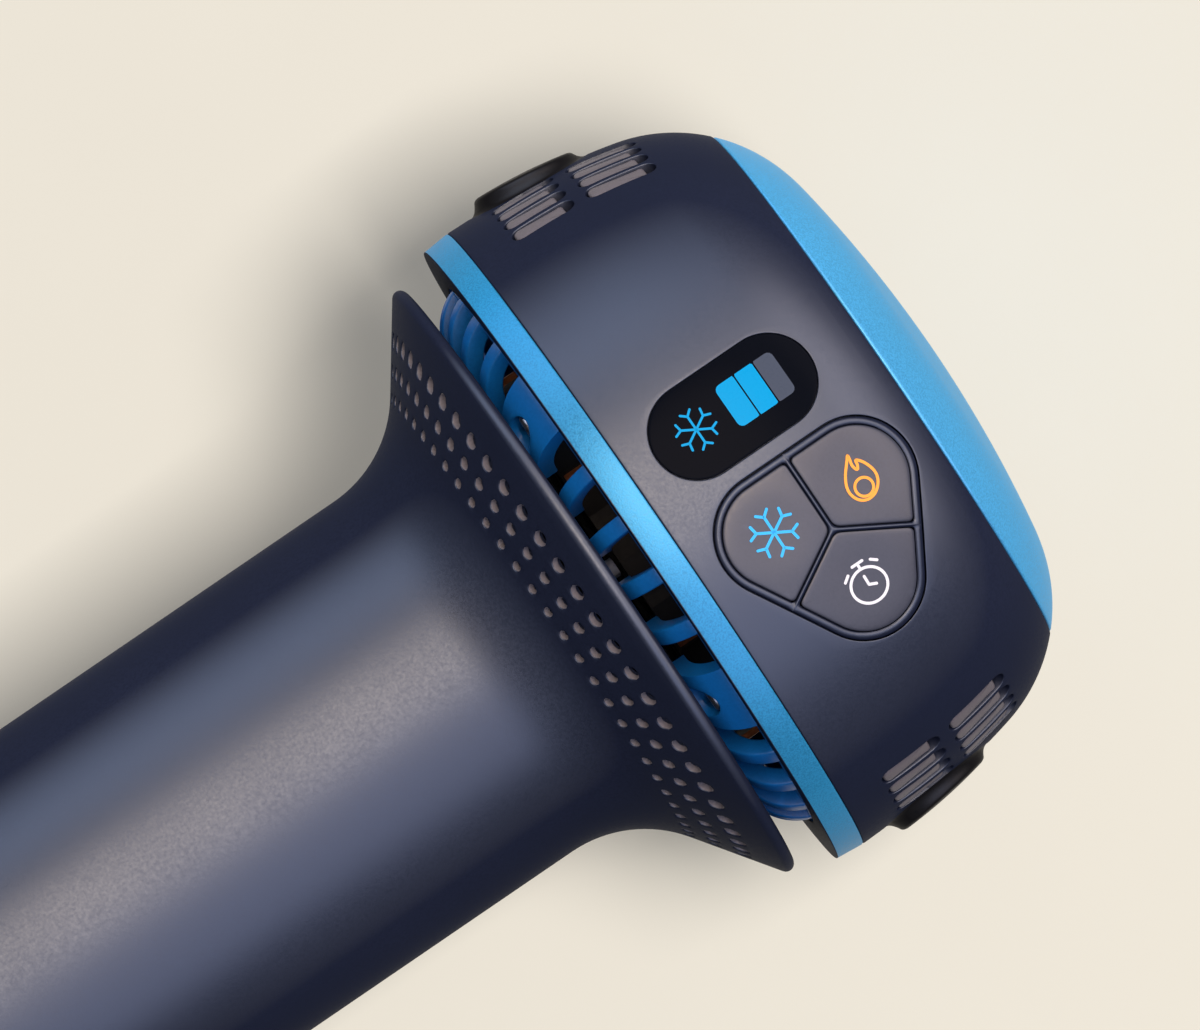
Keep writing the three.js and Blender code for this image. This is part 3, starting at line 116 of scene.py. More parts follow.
def filleted(corners: Sequence[Sequence[float]], closed: bool = False, steps: int = 5) -> Array:
    """Draws a line through corners and rounds each one off.

    The middle of a rounding lies on the line that halves the corner, at the radius over the sine of half the
    corner's angle.

    Args:
        corners: Two coordinates and the radius of the rounding of each corner.
        closed: True if the last corner is joined to the first.
        steps: Number of pieces in each rounding.

    Returns:
        The points of the line.
    """
    spots = np.array([corner[:2] for corner in corners], float)
    parts = []
    for i, (*_, radius) in enumerate(corners):
        spot = spots[i]
        if radius == 0 or (not closed and i in (0, len(corners) - 1)):
            parts.append(spot[None])
            continue
        ways = np.array([spots[i - 1] - spot, spots[(i + 1) % len(corners)] - spot])
        ways /= np.linalg.norm(ways, axis=1, keepdims=True)
        half = acos(float(np.clip(ways[0] @ ways[1], -1, 1))) / 2
        middle = spot + ways.sum(0) / np.linalg.norm(ways.sum(0)) * radius / sin(half)
        ends = spot + ways * radius / tan(half) - middle
        start, end = np.arctan2(ends[:, 1], ends[:, 0])
        sweep = (end - start + pi) % TURN - pi
        parts.append(arc(tuple(middle), radius, start, start + sweep, steps))
    return np.concatenate(parts)


def rounded_box(width: float, height: float, corner: float, centre: Pair = (0, 0)) -> Array:
    """Draws a rectangle with round corners.

    Args:
        width: Its width.
        height: Its height.
        corner: Radius of its corners.
        centre: Its middle.

    Returns:
        Its anticlockwise loop.
    """
    x, y = width / 2, height / 2
    corners = [(-x, -y, corner), (x, -y, corner), (x, y, corner), (-x, y, corner)]
    return filleted(corners, closed=True, steps=FINE) + centre


def turning(angle: float) -> Array:
    """Returns the matrix that turns rows of points by an angle: its cosine and sine, and minus its sine."""
    return np.array([[cos(angle), sin(angle)], [-sin(angle), cos(angle)]])


def circle(radius: float, centre: Pair = (0, 0), steps: int = 96) -> Array:
    """Returns the anticlockwise loop of a circle."""
    return arc(centre, radius, 0, TURN, steps)[:-1]


def run_of(points: Array) -> Array:
    """Returns how far along a line each of its points lies."""
    return np.concatenate([[0], np.cumsum(np.linalg.norm(np.diff(points, axis=0), axis=1))])


def spread(points: Array, runs: Array) -> Array:
    """Returns the points of a line at given distances along it."""
    along = run_of(points)
    return np.stack([np.interp(runs, along, points[:, axis]) for axis in range(points.shape[1])], -1)


def matched(loop: Array, anchors: Sequence[int], counts: Sequence[int]) -> Array:
    """Spaces points evenly along each side of a loop.

    Args:
        loop: Dense points of the loop.
        anchors: Numbers of the points where the sides start.
        counts: Number of pieces in each side.

    Returns:
        The points, from the first anchor round.
    """
    ring = np.roll(loop, -anchors[0], axis=0)
    ring = np.concatenate([ring, ring[:1]])
    along = run_of(ring)
    stops = [*(along[(anchor - anchors[0]) % len(loop)] for anchor in anchors), along[-1]]
    runs = [np.linspace(stops[i], stops[i + 1], count + 1)[:-1] for i, count in enumerate(counts)]
    return spread(ring, np.concatenate(runs))


def nearest(loop: Array, spots: Array) -> list[int]:
    """Returns the number of the loop's point that lies nearest to each spot."""
    return list(np.argmin(np.linalg.norm(loop[None] - np.asarray(spots)[:, None], axis=2), axis=1))


def dense_loop(loop: Array, step: float = DENSE) -> Array:
    """Spaces points evenly round a loop.

    Args:
        loop: Its points.
        step: Distance from point to point, if that gives enough of them.

    Returns:
        Points at equal distances along the loop.
    """
    ring = np.concatenate([loop, loop[:1]])
    length = run_of(ring)[-1]
    count = max(LEAST_POINTS, int(length / step))
    return spread(ring, np.linspace(0, length, count + 1)[:-1])


def outward_normals(loop: Array) -> Array:
    """Works out the normals of an anticlockwise loop.

    Args:
        loop: Its points.

    Returns:
        At each point, the chord between its neighbours, turned a quarter clockwise and made one long.
    """
    chord = np.roll(loop, -1, axis=0) - np.roll(loop, 1, axis=0)
    normal = np.stack([chord[:, 1], -chord[:, 0]], -1)
    return normal / np.maximum(np.linalg.norm(normal, axis=1, keepdims=True), TINY)


def filled(lines: Sequence[float], spacing: float) -> Array:
    """Puts more values between given ones, evenly in each interval.

    Args:
        lines: The given values.
        spacing: Greatest step from value to value.

    Returns:
        All the values in their order.
    """
    marks = sorted(set(lines))
    parts = [np.linspace(a, b, ceil((b - a) / spacing) + 1)[:-1] for a, b in zip(marks, marks[1:])]
    return np.concatenate([*parts, [marks[-1]]])


def smooth_loop(points: Array, steps: int = 8) -> Array:
    """Draws a smooth loop through points.

    Between two of them it is a cubic, whose slope at each end is half the way from that point's neighbour on
    one side to the one on the other.

    Args:
        points: The points.
        steps: Number of pieces between two of them.

    Returns:
        The loop.
    """
    before, after = np.roll(points, 1, axis=0), np.roll(points, -1, axis=0)
    slope = (after - before) / 2
    t = np.linspace(0, 1, steps + 1)[:-1, None, None]
    start = (2 * t**3 - 3 * t**2 + 1) * points + (t**3 - 2 * t**2 + t) * slope
    end = (3 * t**2 - 2 * t**3) * after + (t**3 - t**2) * np.roll(slope, -1, axis=0)
    return (start + end).transpose(1, 0, 2).reshape(-1, 2)


# Meshes


class PieceMesh:
    """Mesh of one piece, gathered from grids of points and closed by welding their edges."""

    def __init__(self) -> None:
        """Starts without points."""
        self.points: list[Array] = []
        self.faces: list[Array] = []
        self.count = 0

    def add(self, points: Array, faces: Array) -> None:
        """Adds points and the faces between them.

        Args:
            points: Places, three numbers each.
            faces: Numbers of the corners of each face.
        """
        flat = points.reshape(-1, 3)
        self.points.append(flat)
        self.faces.append(faces + self.count)
        self.count += len(flat)

    def grid(self, rows: Array, around: bool = False, kept: Array | None = None) -> None:
        """Adds a sheet of four-sided faces between rows of points.

        Args:
            rows: Rows by columns of places.
            around: True if the last column is joined to the first.
            kept: Which of the faces are made, by row and column.
        """
        number = np.arange(rows.shape[0] * rows.shape[1]).reshape(rows.shape[:2])
        if around:
            number = np.hstack([number, number[:, :1]])
        quads = np.stack([number[:-1, :-1], number[:-1, 1:], number[1:, 1:], number[1:, :-1]], -1)
        self.add(rows, quads[kept] if kept is not None else quads.reshape(-1, 4))

    def lid(self, ring: Array) -> None:
        """Closes a ring of points with triangles that meet in its middle."""
        i = np.arange(len(ring))
        self.add(np.vstack([ring, ring.mean(0)]), np.stack([i, np.roll(i, -1), np.full_like(i, len(i))], -1))

    def tube(self, rings: Array) -> None:
        """Adds a closed body, with a lid at each end.

        Args:
            rings: Its rings of points.
        """
        self.grid(rings, around=True)
        self.lid(rings[0])
        self.lid(rings[-1])

    def turned(
        self, profile: Array, steps: int, origin: Triple = (0, 0, 0), axis: Triple = (0, 0, 1)
    ) -> None:
        """Adds a turned body: each point of the profile goes round the axis at its own radius and height.

        Args:
            profile: Radius and height of each point. A profile off the axis is closed on itself.
            steps: Number of faces round the axis.
            origin: Where zero height lies on the axis.
            axis: Direction of the axis.
        """
        if profile[0, 0] > 0:
            profile = np.concatenate([profile, profile[:1]])
        angle = np.linspace(0, TURN, steps + 1)[None, :-1]
        radius, height = profile[:, :1], profile[:, 1:]
        points = np.stack([radius * np.cos(angle), radius * np.sin(angle), height + 0 * angle], -1)
        basis = np.array(Vector(axis).to_track_quat("Z", "Y").to_matrix())
        self.grid(points @ basis.T + np.asarray(origin, float), around=True)

    def build(
        self, name: str, finish: "Finish", body: str = "device",
        nodes: Sequence[str] = (), sharp: float = SHARP,
    ) -> Piece:
        """Makes the object, dresses it, and fastens it to its CAD body.

        Args:
            name: Name of the piece.
            finish: Finish that it wears.
            body: CAD body that it rides on.
            nodes: CAD nodes that it is shown in place of.
            sharp: Angle in degrees above which an edge between two faces stays sharp.

        Returns:
            The object.
        """
        mesh = bpy.data.meshes.new(name)
        points = np.concatenate(self.points) * MM
        corners = np.concatenate([block.ravel() for block in self.faces])
        sizes = np.concatenate([np.full(len(block), block.shape[1]) for block in self.faces])
        mesh.vertices.add(len(points))
        mesh.vertices.foreach_set("co", points.astype(np.float32).ravel())
        mesh.loops.add(len(corners))
        mesh.loops.foreach_set("vertex_index", corners.astype(np.int32))
        mesh.polygons.add(len(sizes))
        starts = np.concatenate([[0], np.cumsum(sizes)[:-1]])
        mesh.polygons.foreach_set("loop_start", starts.astype(np.int32))
        mesh.update(calc_edges=True)
        work = bmesh.new()
        work.from_mesh(mesh)
        bmesh.ops.remove_doubles(work, verts=work.verts, dist=WELD)
        bmesh.ops.recalc_face_normals(work, faces=work.faces)
        work.to_mesh(mesh)
        work.free()
        mesh.shade_smooth()
        mesh.set_sharp_from_angle(angle=radians(sharp))
        piece = bpy.data.objects.new(name, mesh)
        bpy.context.scene.collection.objects.link(piece)
        finish.dress(piece)
        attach(piece, body)
        if nodes:
            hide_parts(*nodes)
        log.info("%s: %d faces, rides on %s, stands for %s", name, len(mesh.polygons), body, list(nodes))
        return piece


def soften(piece: Piece, width: float) -> None:
    """Bevels the sharp edges of a piece.

    Args:
        piece: The piece.
        width: Width of the bevel in millimetres.
    """
    bevel = piece.modifiers.new("softened", "BEVEL")
    bevel.width = width * MM
    bevel.segments = 2
    bevel.limit_method = "ANGLE"
    bevel.angle_limit = radians(SHARP)
    bevel.harden_normals = True


class Outline:
    """Side view of a turned form, as radius and height along its run up the outside."""

    def __init__(self, points: Array) -> None:
        """Measures the line and its normals, which point away from the material.

        Args:
            points: Radius and height of the points, with curves already divided.
        """
        points = points[np.concatenate([[True], np.diff(run_of(points)) > SAME])]
        self.knots = run_of(points)
        self.run = np.unique(np.concatenate([self.knots, np.arange(0, self.knots[-1], DENSE)]))
        self.points = spread(points, self.run)
        tangent = np.gradient(self.points, self.run, axis=0)
        tangent /= np.linalg.norm(tangent, axis=1, keepdims=True)
        self.normals = np.stack([tangent[:, 1], -tangent[:, 0]], -1)

    def at(self, run: Array, depth: Array | float = 0.0) -> tuple[Array, Array]:
        """Returns radius and height at a run, moved in along the normal by a depth."""
        values = [np.interp(run, self.run, column) for column in (*self.points.T, *self.normals.T)]
        return values[0] - depth * values[2], values[1] - depth * values[3]

    def place(self, angle: Array, run: Array, depth: Array | float = 0.0) -> Array:
        """Returns places on the form: radius times sine and minus cosine of the angle, and the height."""
        radius, height = self.at(run, depth)
        return np.stack([radius * np.sin(angle), -radius * np.cos(angle), height + 0 * angle], -1)

    def run_at(self, values: Array, axis: int, first: float = 0.0) -> Array:
        """Returns the run at which the line reaches given radii or heights.

        Args:
            values: Radii for axis 0, or heights for axis 1.
            axis: Which of the two the values are.
            first: Run below which the line isn't looked at.

        Returns:
            The runs.
        """
        part = self.run >= first
        column = self.points[part, axis]
        rising = column >= np.maximum.accumulate(column)
        return np.interp(values, column[rising], self.run[part][rising])

    def rows(self, lines: Sequence[float], spacing: float, clear: float = 0.12) -> Array:
        """Works out the rows of a grid that follows every curve of the outline.

        Args:
            lines: Runs that have to be rows.
            spacing: Greatest step from row to row.
            clear: Distance from those runs inside which no knot of the outline makes a row of its own.

        Returns:
            The runs of the rows.
        """
        marks = np.asarray(list(lines), float)
        free = [knot for knot in self.knots if not len(marks) or np.abs(marks - knot).min() > clear]
        return filled([*marks, *free], spacing)


@dataclass(frozen=True)
class Opening:
    """Hole in a shell, inside a window of the shell's grid."""

    angle: float  # direction of the hole
    sides: Pair  # angles of the window's two sides
    ends: Pair  # runs of the window's lower and upper end
    # loop of the hole's edge. Its second coordinate is a run, a height or a radius, as the drill is square,
    # radial or upward
    edge: Array
    rims: Sequence[Pair]  # outset of the edge and depth of each row of the wall, from the skin inwards
    drill: Drill = Drill.RADIAL  # way that the wall runs
    rings: int = 3  # number of rows between the window and the edge

    def inward(self) -> Array:
        """Returns the direction in which the wall runs, if it isn't square to the skin."""
        upward = self.drill is Drill.UPWARD
        return np.array([0.0, 0.0, 1.0] if upward else [-sin(self.angle), cos(self.angle), 0.0])


@dataclass
class Shell:
    """Turned wall with openings through it."""

    outline: Outline  # its outside
    columns: Array  # angles of the grid. All the way round, the last one lies on the first
    rows: Array  # runs of the grid
    core: Pair  # first and last run that the inner side is made for. The rows beyond them are rounded rims
    walls: tuple[Sequence[float], Sequence[float]]  # runs, and the thickness of the wall at each of them
    around: bool = True  # true if the wall goes all the way round

    def inside(self, angle: Array, run: Array) -> Array:
        """Returns places on the inner side."""
        return self.outline.place(angle, run, np.interp(run, *self.walls))

    def on_skin(self, opening: Opening, spots: Array) -> Array:
        """Finds spots of an opening on the skin.

        Square to the skin, the way across is an arc and the way along is the run. The other two are looked at
        straight, from the side or from above, so the angle is an arc sine or an arc tangent.

        Args:
            opening: The opening.
            spots: Distance across and value along of each spot, in the opening's own coordinates.

        Returns:
            The angle and run of each spot.
        """
        across, along = spots.T
        if opening.drill is Drill.SQUARE:
            run = along
            angle = across / self.outline.at(run)[0]
        elif opening.drill is Drill.RADIAL:
            run = self.outline.run_at(along, 1, self.core[0])
            angle = np.arcsin(np.clip(across / self.outline.at(run)[0], -1, 1))
        else:
            run = self.outline.run_at(np.hypot(across, along), 0)
            angle = np.arctan2(across, along)
        return np.stack([opening.angle + angle, run], -1)

    def drilled(self, opening: Opening, spots: Array, depth: float) -> Array:
        """Works out places on an opening's wall.

        Args:
            opening: The opening.
            spots: Spots in the opening's own coordinates.
            depth: Depth under the skin.

        Returns:
            The places.
        """
        angle, run = self.on_skin(opening, spots).T
        if opening.drill is Drill.SQUARE:
            return self.outline.place(angle, run, depth)
        return self.outline.place(angle, run) + depth * opening.inward()

    def open(self, mesh: PieceMesh, opening: Opening) -> tuple[slice, slice]:
        """Fills an opening's window with rings that close in on its edge and go through the wall.

        Args:
            mesh: Mesh that the rings are added to.
            opening: The hole.

        Returns:
            Rows and columns of the grid's faces that the window takes up.
        """
        first, last = (int(np.argmin(np.abs(self.columns - side))) for side in opening.sides)
        low, high = (int(np.argmin(np.abs(self.rows - end))) for end in opening.ends)
        across, along = self.columns[first : last + 1], self.rows[low : high + 1]
        border = np.concatenate([
            np.stack([across[:-1], np.full(len(across) - 1, along[0])], -1),
            np.stack([np.full(len(along) - 1, across[-1]), along[:-1]], -1),
            np.stack([across[:0:-1], np.full(len(across) - 1, along[-1])], -1),
            np.stack([np.full(len(along) - 1, across[0]), along[:0:-1]], -1),
        ])
        wide, tall = len(across) - 1, len(along) - 1
        edge = dense_loop(opening.edge)
        scale = np.array([self.outline.at(np.mean(along))[0], 1.0])
        corners = border[[0, wide, wide + tall, 2 * wide + tall]]
        anchors = nearest(self.on_skin(opening, edge) * scale, corners * scale)
        loop = matched(edge, anchors, (wide, tall, wide, tall))
        normals = outward_normals(loop)
        rims = [self.drilled(opening, loop + normals * outset, depth) for outset, depth in opening.rims]
        start = self.on_skin(opening, loop + normals * opening.rims[0][0])
        shares = np.linspace(0, 1, opening.rings + 1)[:, None, None]
        between = border + (start - border) * shares
        skin = self.outline.place(between[..., 0], between[..., 1])
        mesh.grid(np.concatenate([skin, rims[1:], [self.inside(*border.T)]]), around=True)
        return slice(low, high), slice(first, last)

    def build(self, mesh: PieceMesh, openings: Sequence[Opening] = ()) -> None:
        """Adds the wall to a mesh.

        Args:
            mesh: Mesh that the wall is added to.
            openings: The holes in it.
        """
        angle, run = np.meshgrid(self.columns, self.rows)
        kept = np.ones((len(self.rows) - 1, len(self.columns) - 1), bool)
        for opening in openings:
            kept[self.open(mesh, opening)] = False
        first, last = (int(np.argmin(np.abs(self.rows - end))) for end in self.core)
        core = slice(first, last + 1)
        outer = self.outline.place(angle, run)
        inner = self.inside(angle[core], run[core])
        mesh.grid(outer, kept=kept)
        mesh.grid(inner, kept=kept[first:last])
        mesh.grid(np.stack([outer[0], inner[0]]))
        mesh.grid(np.stack([outer[-1], inner[-1]]))
        if not self.around:
            mesh.grid(np.stack([outer[core, 0], inner[:, 0]]))
            mesh.grid(np.stack([outer[core, -1], inner[:, -1]]))


def cushion(
    mesh: PieceMesh, loop: Array, centre: Sequence[float], surface: Surface, rows: Sequence[Triple]
) -> None:
    """Adds a closed plate that follows a surface.

    Each row is the loop, drawn in by an inset and then shrunk towards the centre by a share. The first and
    the last row shrink to nothing, which closes the plate.

    Args:
        mesh: Mesh that the plate is added to.
        loop: Anticlockwise edge of the plate.
        centre: Where the rows close in.
        surface: Turns the two coordinates and a depth into places.
        rows: Share, inset and depth of each row.
    """
    normals = outward_normals(loop)
    rings = []
    for share, inset, depth in rows:
        flat = np.asarray(centre) + share * (loop - normals * inset - centre)
        rings.append(surface(flat[:, 0], flat[:, 1], depth))
    mesh.grid(np.stack(rings), around=True)


def stroke(
    mesh: PieceMesh, path: Array, width: float, surface: Surface,
    closed: bool = False, proud: float = 0.025, sunk: float = 0.08,
) -> None:
    """Adds a printed line of even width with round ends, as a ribbon that lies on a surface.

    Its sides run half its width to the left and right of the path. Over a round end the width falls with the
    cosine of an angle whose sine is the way out.

    Args:
        mesh: Mesh that the line is added to.
        path: Points of its middle.
        width: Its width.
        surface: Turns the two coordinates and a depth into places.
        closed: True if the path is a loop.
        proud: How far it stands out.
        sunk: How far its underside lies under the surface.
    """
    if closed:
        path = dense_loop(path)
        chord = np.roll(path, -1, axis=0) - np.roll(path, 1, axis=0)
        widths = np.full(len(path), width)
    else:
        along = run_of(path)
        path = spread(path, np.unique(np.concatenate([along, np.arange(0, along[-1], DENSE)])))
        angles = np.linspace(pi / 2, 0, TIP_STEPS + 1)[:-1]
        ways = path[[0, -1]] - path[[1, -2]]
        ways *= width / 2 / np.linalg.norm(ways, axis=1, keepdims=True)
        head = path[0] + np.sin(angles)[:, None] * ways[0]
        tail = path[-1] + np.sin(angles)[::-1, None] * ways[1]
        round_off = np.maximum(np.cos(angles), TIP_SHARE)
        widths = width * np.concatenate([round_off, np.ones(len(path)), round_off[::-1]])
        path = np.concatenate([head, path, tail])
        chord = np.gradient(path, axis=0)
    normal = np.stack([-chord[:, 1], chord[:, 0]], -1)
    normal *= widths[:, None] / 2 / np.linalg.norm(normal, axis=1, keepdims=True)
    left, right = path + normal, path - normal
    sides = [(left, sunk), (left, -proud), (right, -proud), (right, sunk)]
    rings = np.stack([surface(side[:, 0], side[:, 1], depth) for side, depth in sides], 1)
    if closed:
        mesh.grid(np.concatenate([rings, rings[:1]]), around=True)
    else:
        mesh.tube(rings)


# Finishes


def linear(colour: Sequence[float]) -> Quad:
    """Turns a screen colour into the linear colour that the shaders take, by the standard screen curve.

    Args:
        colour: Red, green and blue on the screen.

    Returns:
        The linear red, green and blue, and full cover.
    """
    value = np.asarray(colour, float)
    low, high = value / 12.92, ((value + 0.055) / 1.055) ** 2.4
    return (*(float(v) for v in np.where(value <= 0.04045, low, high)), 1.0)


class NodeTree:
    """Short way to add and join shader nodes."""

    def __init__(self, tree: bpy.types.NodeTree) -> None:
        """Empties the tree."""
        self.tree = tree
        tree.nodes.clear()

    def add(self, kind: str, settings: dict[str, object] | None = None, **inputs: object) -> bpy.types.Node:
        """Adds a node.

        Args:
            kind: Type of the node, without its common prefix.
            settings: Properties of the node.
            inputs: Values or sockets for its inputs, by their names with _ for spaces, or by number as i0.

        Returns:
            The node.
        """
        node = self.tree.nodes.new("ShaderNode" + kind)
        for name, value in (settings or {}).items():
            setattr(node, name, value)
        for name, value in inputs.items():
            numbered = name[0] == "i" and name[1:].isdigit()
            socket = node.inputs[int(name[1:])] if numbered else node.inputs[name.replace("_", " ")]
            if isinstance(value, Socket):
                self.tree.links.new(value, socket)
            else:
                socket.default_value = value
        return node

    def ranged(
        self, value: Socket, low: float, high: float,
        start: float = 0.3, end: float = 0.7, kind: str = "LINEAR",
    ) -> Socket:
        """Returns a socket that goes from low to high as a value goes from start to end."""
        limits = {"From_Min": start, "From_Max": end, "To_Min": low, "To_Max": high}
        return self.add("MapRange", {"interpolation_type": kind}, Value=value, **limits).outputs[0]

    def mixed(self, share: object, first: object, second: object) -> Socket:
        """Returns the socket of two colours mixed by a share."""
        node = self.add("Mix", {"data_type": "RGBA"}, i0=share, i6=first, i7=second)
        return node.outputs[2]


@dataclass(frozen=True)
class Finish:
    """Procedural finish for one material slot of the record.

    The colour drifts with a broad noise and is speckled by a fine one, the roughness follows both, the fine
    noise raises a relief, and convex edges are worn lighter.
    """

    slot: str  # name of the record's material slot
    colour: Triple  # screen colour
    roughness: float  # middle of the roughness
    metallic: float = 0.0  # share of metal
    specular: float = 0.5  # level of the reflection at right angles
    edge: float = 1.0  # share of that level that is left where the surface is seen along it
    tint: Triple = (1.0, 1.0, 1.0)  # screen colour of the reflection at right angles
    coat: float = 0.0  # weight of a clear coat
    coat_roughness: float = 0.06  # its roughness
    grain: float = 0.35  # size of the grain in millimetres
    relief: float = 0.012  # height of the grain in millimetres
    speckle: float = 0.06  # share by which grains differ in brightness
    drift: float = 0.06  # share by which broad patches differ in brightness
    unevenness: float = 0.06  # spread of the roughness
    wear: float = 0.12  # how much lighter the edges are
    glow: float = 0.0  # share of its light that is its own
    label: str = ""  # name of the material, if it isn't named after the slot

    def scaled(self, factor: float) -> Quad:
        """Returns the linear colour, made brighter, of the light that isn't the finish's own."""
        factor *= 1 - self.glow
        return (*(min(1.0, part * factor) for part in linear(self.colour)[:3]), 1.0)

    def material(self) -> bpy.types.Material:
        """Makes the material at its first use.

        Returns:
            The material.
        """
        name = self.label or f"{self.slot}_finish"
        if name in bpy.data.materials:
            return bpy.data.materials[name]
        made = bpy.data.materials.new(name)
        made.use_nodes = True
        tree = NodeTree(made.node_tree)
        spot = tree.add("TexCoord").outputs["Object"]
        fine = tree.add("TexNoise", Vector=spot, Scale=1 / (self.grain * MM), Detail=3.0).outputs["Fac"]
        broad = tree.add("TexNoise", Vector=spot, Scale=38.0, Detail=4.0, Roughness=0.6).outputs["Fac"]
        patch = tree.mixed(tree.ranged(broad, 0, 1), self.scaled(1 - self.drift), self.scaled(1 + self.drift))
        dark = tree.mixed(1.0, patch, self.scaled(1 - 2 * self.speckle))
        body = tree.mixed(tree.ranged(fine, 1, 0, start=0.35, end=0.6), patch, dark)
        pointed = tree.add("NewGeometry").outputs["Pointiness"]
        edge = tree.ranged(pointed, 0, 1, start=0.54, end=0.66)
        worn = tree.add("Math", {"operation": "MULTIPLY"}, i0=edge, i1=self.wear).outputs[0]
        shade = tree.mixed(worn, body, self.scaled(factor=2.5))
        uneven = self.unevenness
        rough = tree.add(
            "Math",
            {"operation": "ADD", "use_clamp": True},
            i0=tree.ranged(fine, self.roughness - uneven, self.roughness + uneven),
            i1=tree.ranged(broad, -uneven / 2, uneven / 2),
        ).outputs[0]
        bump = tree.add("Bump", Height=fine, Distance=self.relief * MM, Strength=1.0).outputs[0]
        facing = tree.add("LayerWeight", Blend=0.5).outputs["Facing"]
        least = self.specular * self.edge
        level = tree.ranged(facing, self.specular, least, start=0.08, end=0.42, kind="SMOOTHSTEP")
        shader = tree.add(
            "BsdfPrincipled",
            Base_Color=shade,
            Roughness=rough,
            Metallic=self.metallic,
            Specular_IOR_Level=level if self.edge < 1 else self.specular,
            Specular_Tint=linear(self.tint),
            Coat_Weight=self.coat,
            Coat_Roughness=self.coat_roughness,
            Emission_Color=linear(self.colour),
            Emission_Strength=self.glow,
            Normal=bump,
        )
        tree.add("OutputMaterial", Surface=shader.outputs[0])
        return made

    def dress(self, piece: Piece) -> None:
        """Gives the finish to a piece, in place of any that it has."""
        piece.data.materials.clear()
        piece.data.materials.append(self.material())


SOFT_TOUCH = Finish(
    "soft_touch", (0.105, 0.127, 0.19), 0.45, specular=1.0, edge=0.004, tint=(0.88, 0.93, 1.0),
    relief=0.006, drift=0.1, wear=0.06,
)
ANODISED = Finish(
    "anodised_blue", (0.27, 0.61, 0.81), 0.38, metallic=0.4, specular=0.8, edge=0.02,
    tint=(0.85, 0.96, 1.0), grain=0.22, relief=0.02, speckle=0.12, unevenness=0.08,
)
RING_BLUE = replace(
    ANODISED, colour=(0.16, 0.52, 0.7), specular=0.45, tint=(1.0, 1.0, 1.0), label="ring_blue"
)
VANE_BLUE = Finish("vane_blue", (0.03, 0.35, 0.61), 0.42, specular=0.3)
GLOSS_BLACK = Finish(
    "gloss_black", (0.06, 0.06, 0.07), 0.4, specular=0.3, edge=0.05, relief=0.004, speckle=0.02
)
LENS_BLACK = Finish(
    "lens_black", (0.03, 0.04, 0.065), 0.25, specular=0.012, relief=0.001, speckle=0.02, unevenness=0.02
)
VENT_GREY = Finish("vent_grey", (0.33, 0.315, 0.335), 0.55, specular=0.3)
DARK_PLASTIC = Finish("dark_plastic", (0.03, 0.03, 0.035), 0.55, specular=0.12)
FOOT_RUBBER = Finish("foot_rubber", (0.085, 0.09, 0.1), 0.85, specular=0.3, grain=0.5, relief=0.03)
STEEL = Finish("steel", (0.66, 0.67, 0.69), 0.32, metallic=1.0, relief=0.006)
COPPER = Finish("copper", (0.52, 0.33, 0.22), 0.4, metallic=1.0, drift=0.15)
CELL_WRAP = Finish("cell_wrap", (0.19, 0.48, 0.38), 0.4, grain=0.6, relief=0.006)
CIRCUIT_BOARD = Finish("circuit_board", (0.08, 0.32, 0.22), 0.45, coat=0.2, grain=0.8, speckle=0.15)
CERAMIC = Finish("white_ceramic", (0.9, 0.89, 0.86), 0.6)
FOAM = Finish("foam_grey", (0.3, 0.3, 0.32), 0.92, grain=0.6, relief=0.06, speckle=0.15)


def lens_ink(label: str, colour: Triple, glow: float) -> Finish:
    """Returns a colour that is lit behind the lens, in the slot of the lens."""
    look = {"specular": 0.04, "relief": 0.001, "speckle": 0.02}
    return Finish("lens_black", colour, 0.3, glow=glow, label=label, **look)


def key_ink_with_painted_glow(label: str, colour: Triple, glow: float) -> Finish:
    """Returns a colour that is printed on a key, in the slot of the key, with a painted glow that brightens
    the print.
    """
    return Finish("soft_touch", colour, 0.5, specular=0.2, relief=0.002, glow=glow, label=label)


KEY_GREY = Finish(
    "soft_touch", (0.2, 0.215, 0.26), 0.45, specular=0.6, edge=0.1, relief=0.005, label="key_grey"
)
# pale grey of the sleeves in the intake holes: painted light on the holes' walls, on a guessed part
SLEEVE_PAINTED_LIGHT = Finish(
    "vent_grey", (0.4, 0.39, 0.41), 0.42, specular=0.5, relief=0.003, label="sleeve_painted_light"
)
LIT_CYAN = lens_ink("lit_cyan", (0.03, 0.61, 0.84), 0.7)
LIT_GREY = lens_ink("lit_grey", (0.28, 0.31, 0.37), 0.6)
# the printed key signs get a glow of their own: painted light
INK_ORANGE = key_ink_with_painted_glow("ink_orange", (0.93, 0.6, 0.24), 0.35)
INK_BLUE = key_ink_with_painted_glow("ink_blue", (0.2, 0.66, 0.92), 0.35)
INK_WHITE = key_ink_with_painted_glow("ink_white", (0.83, 0.84, 0.87), 0.25)


# The device


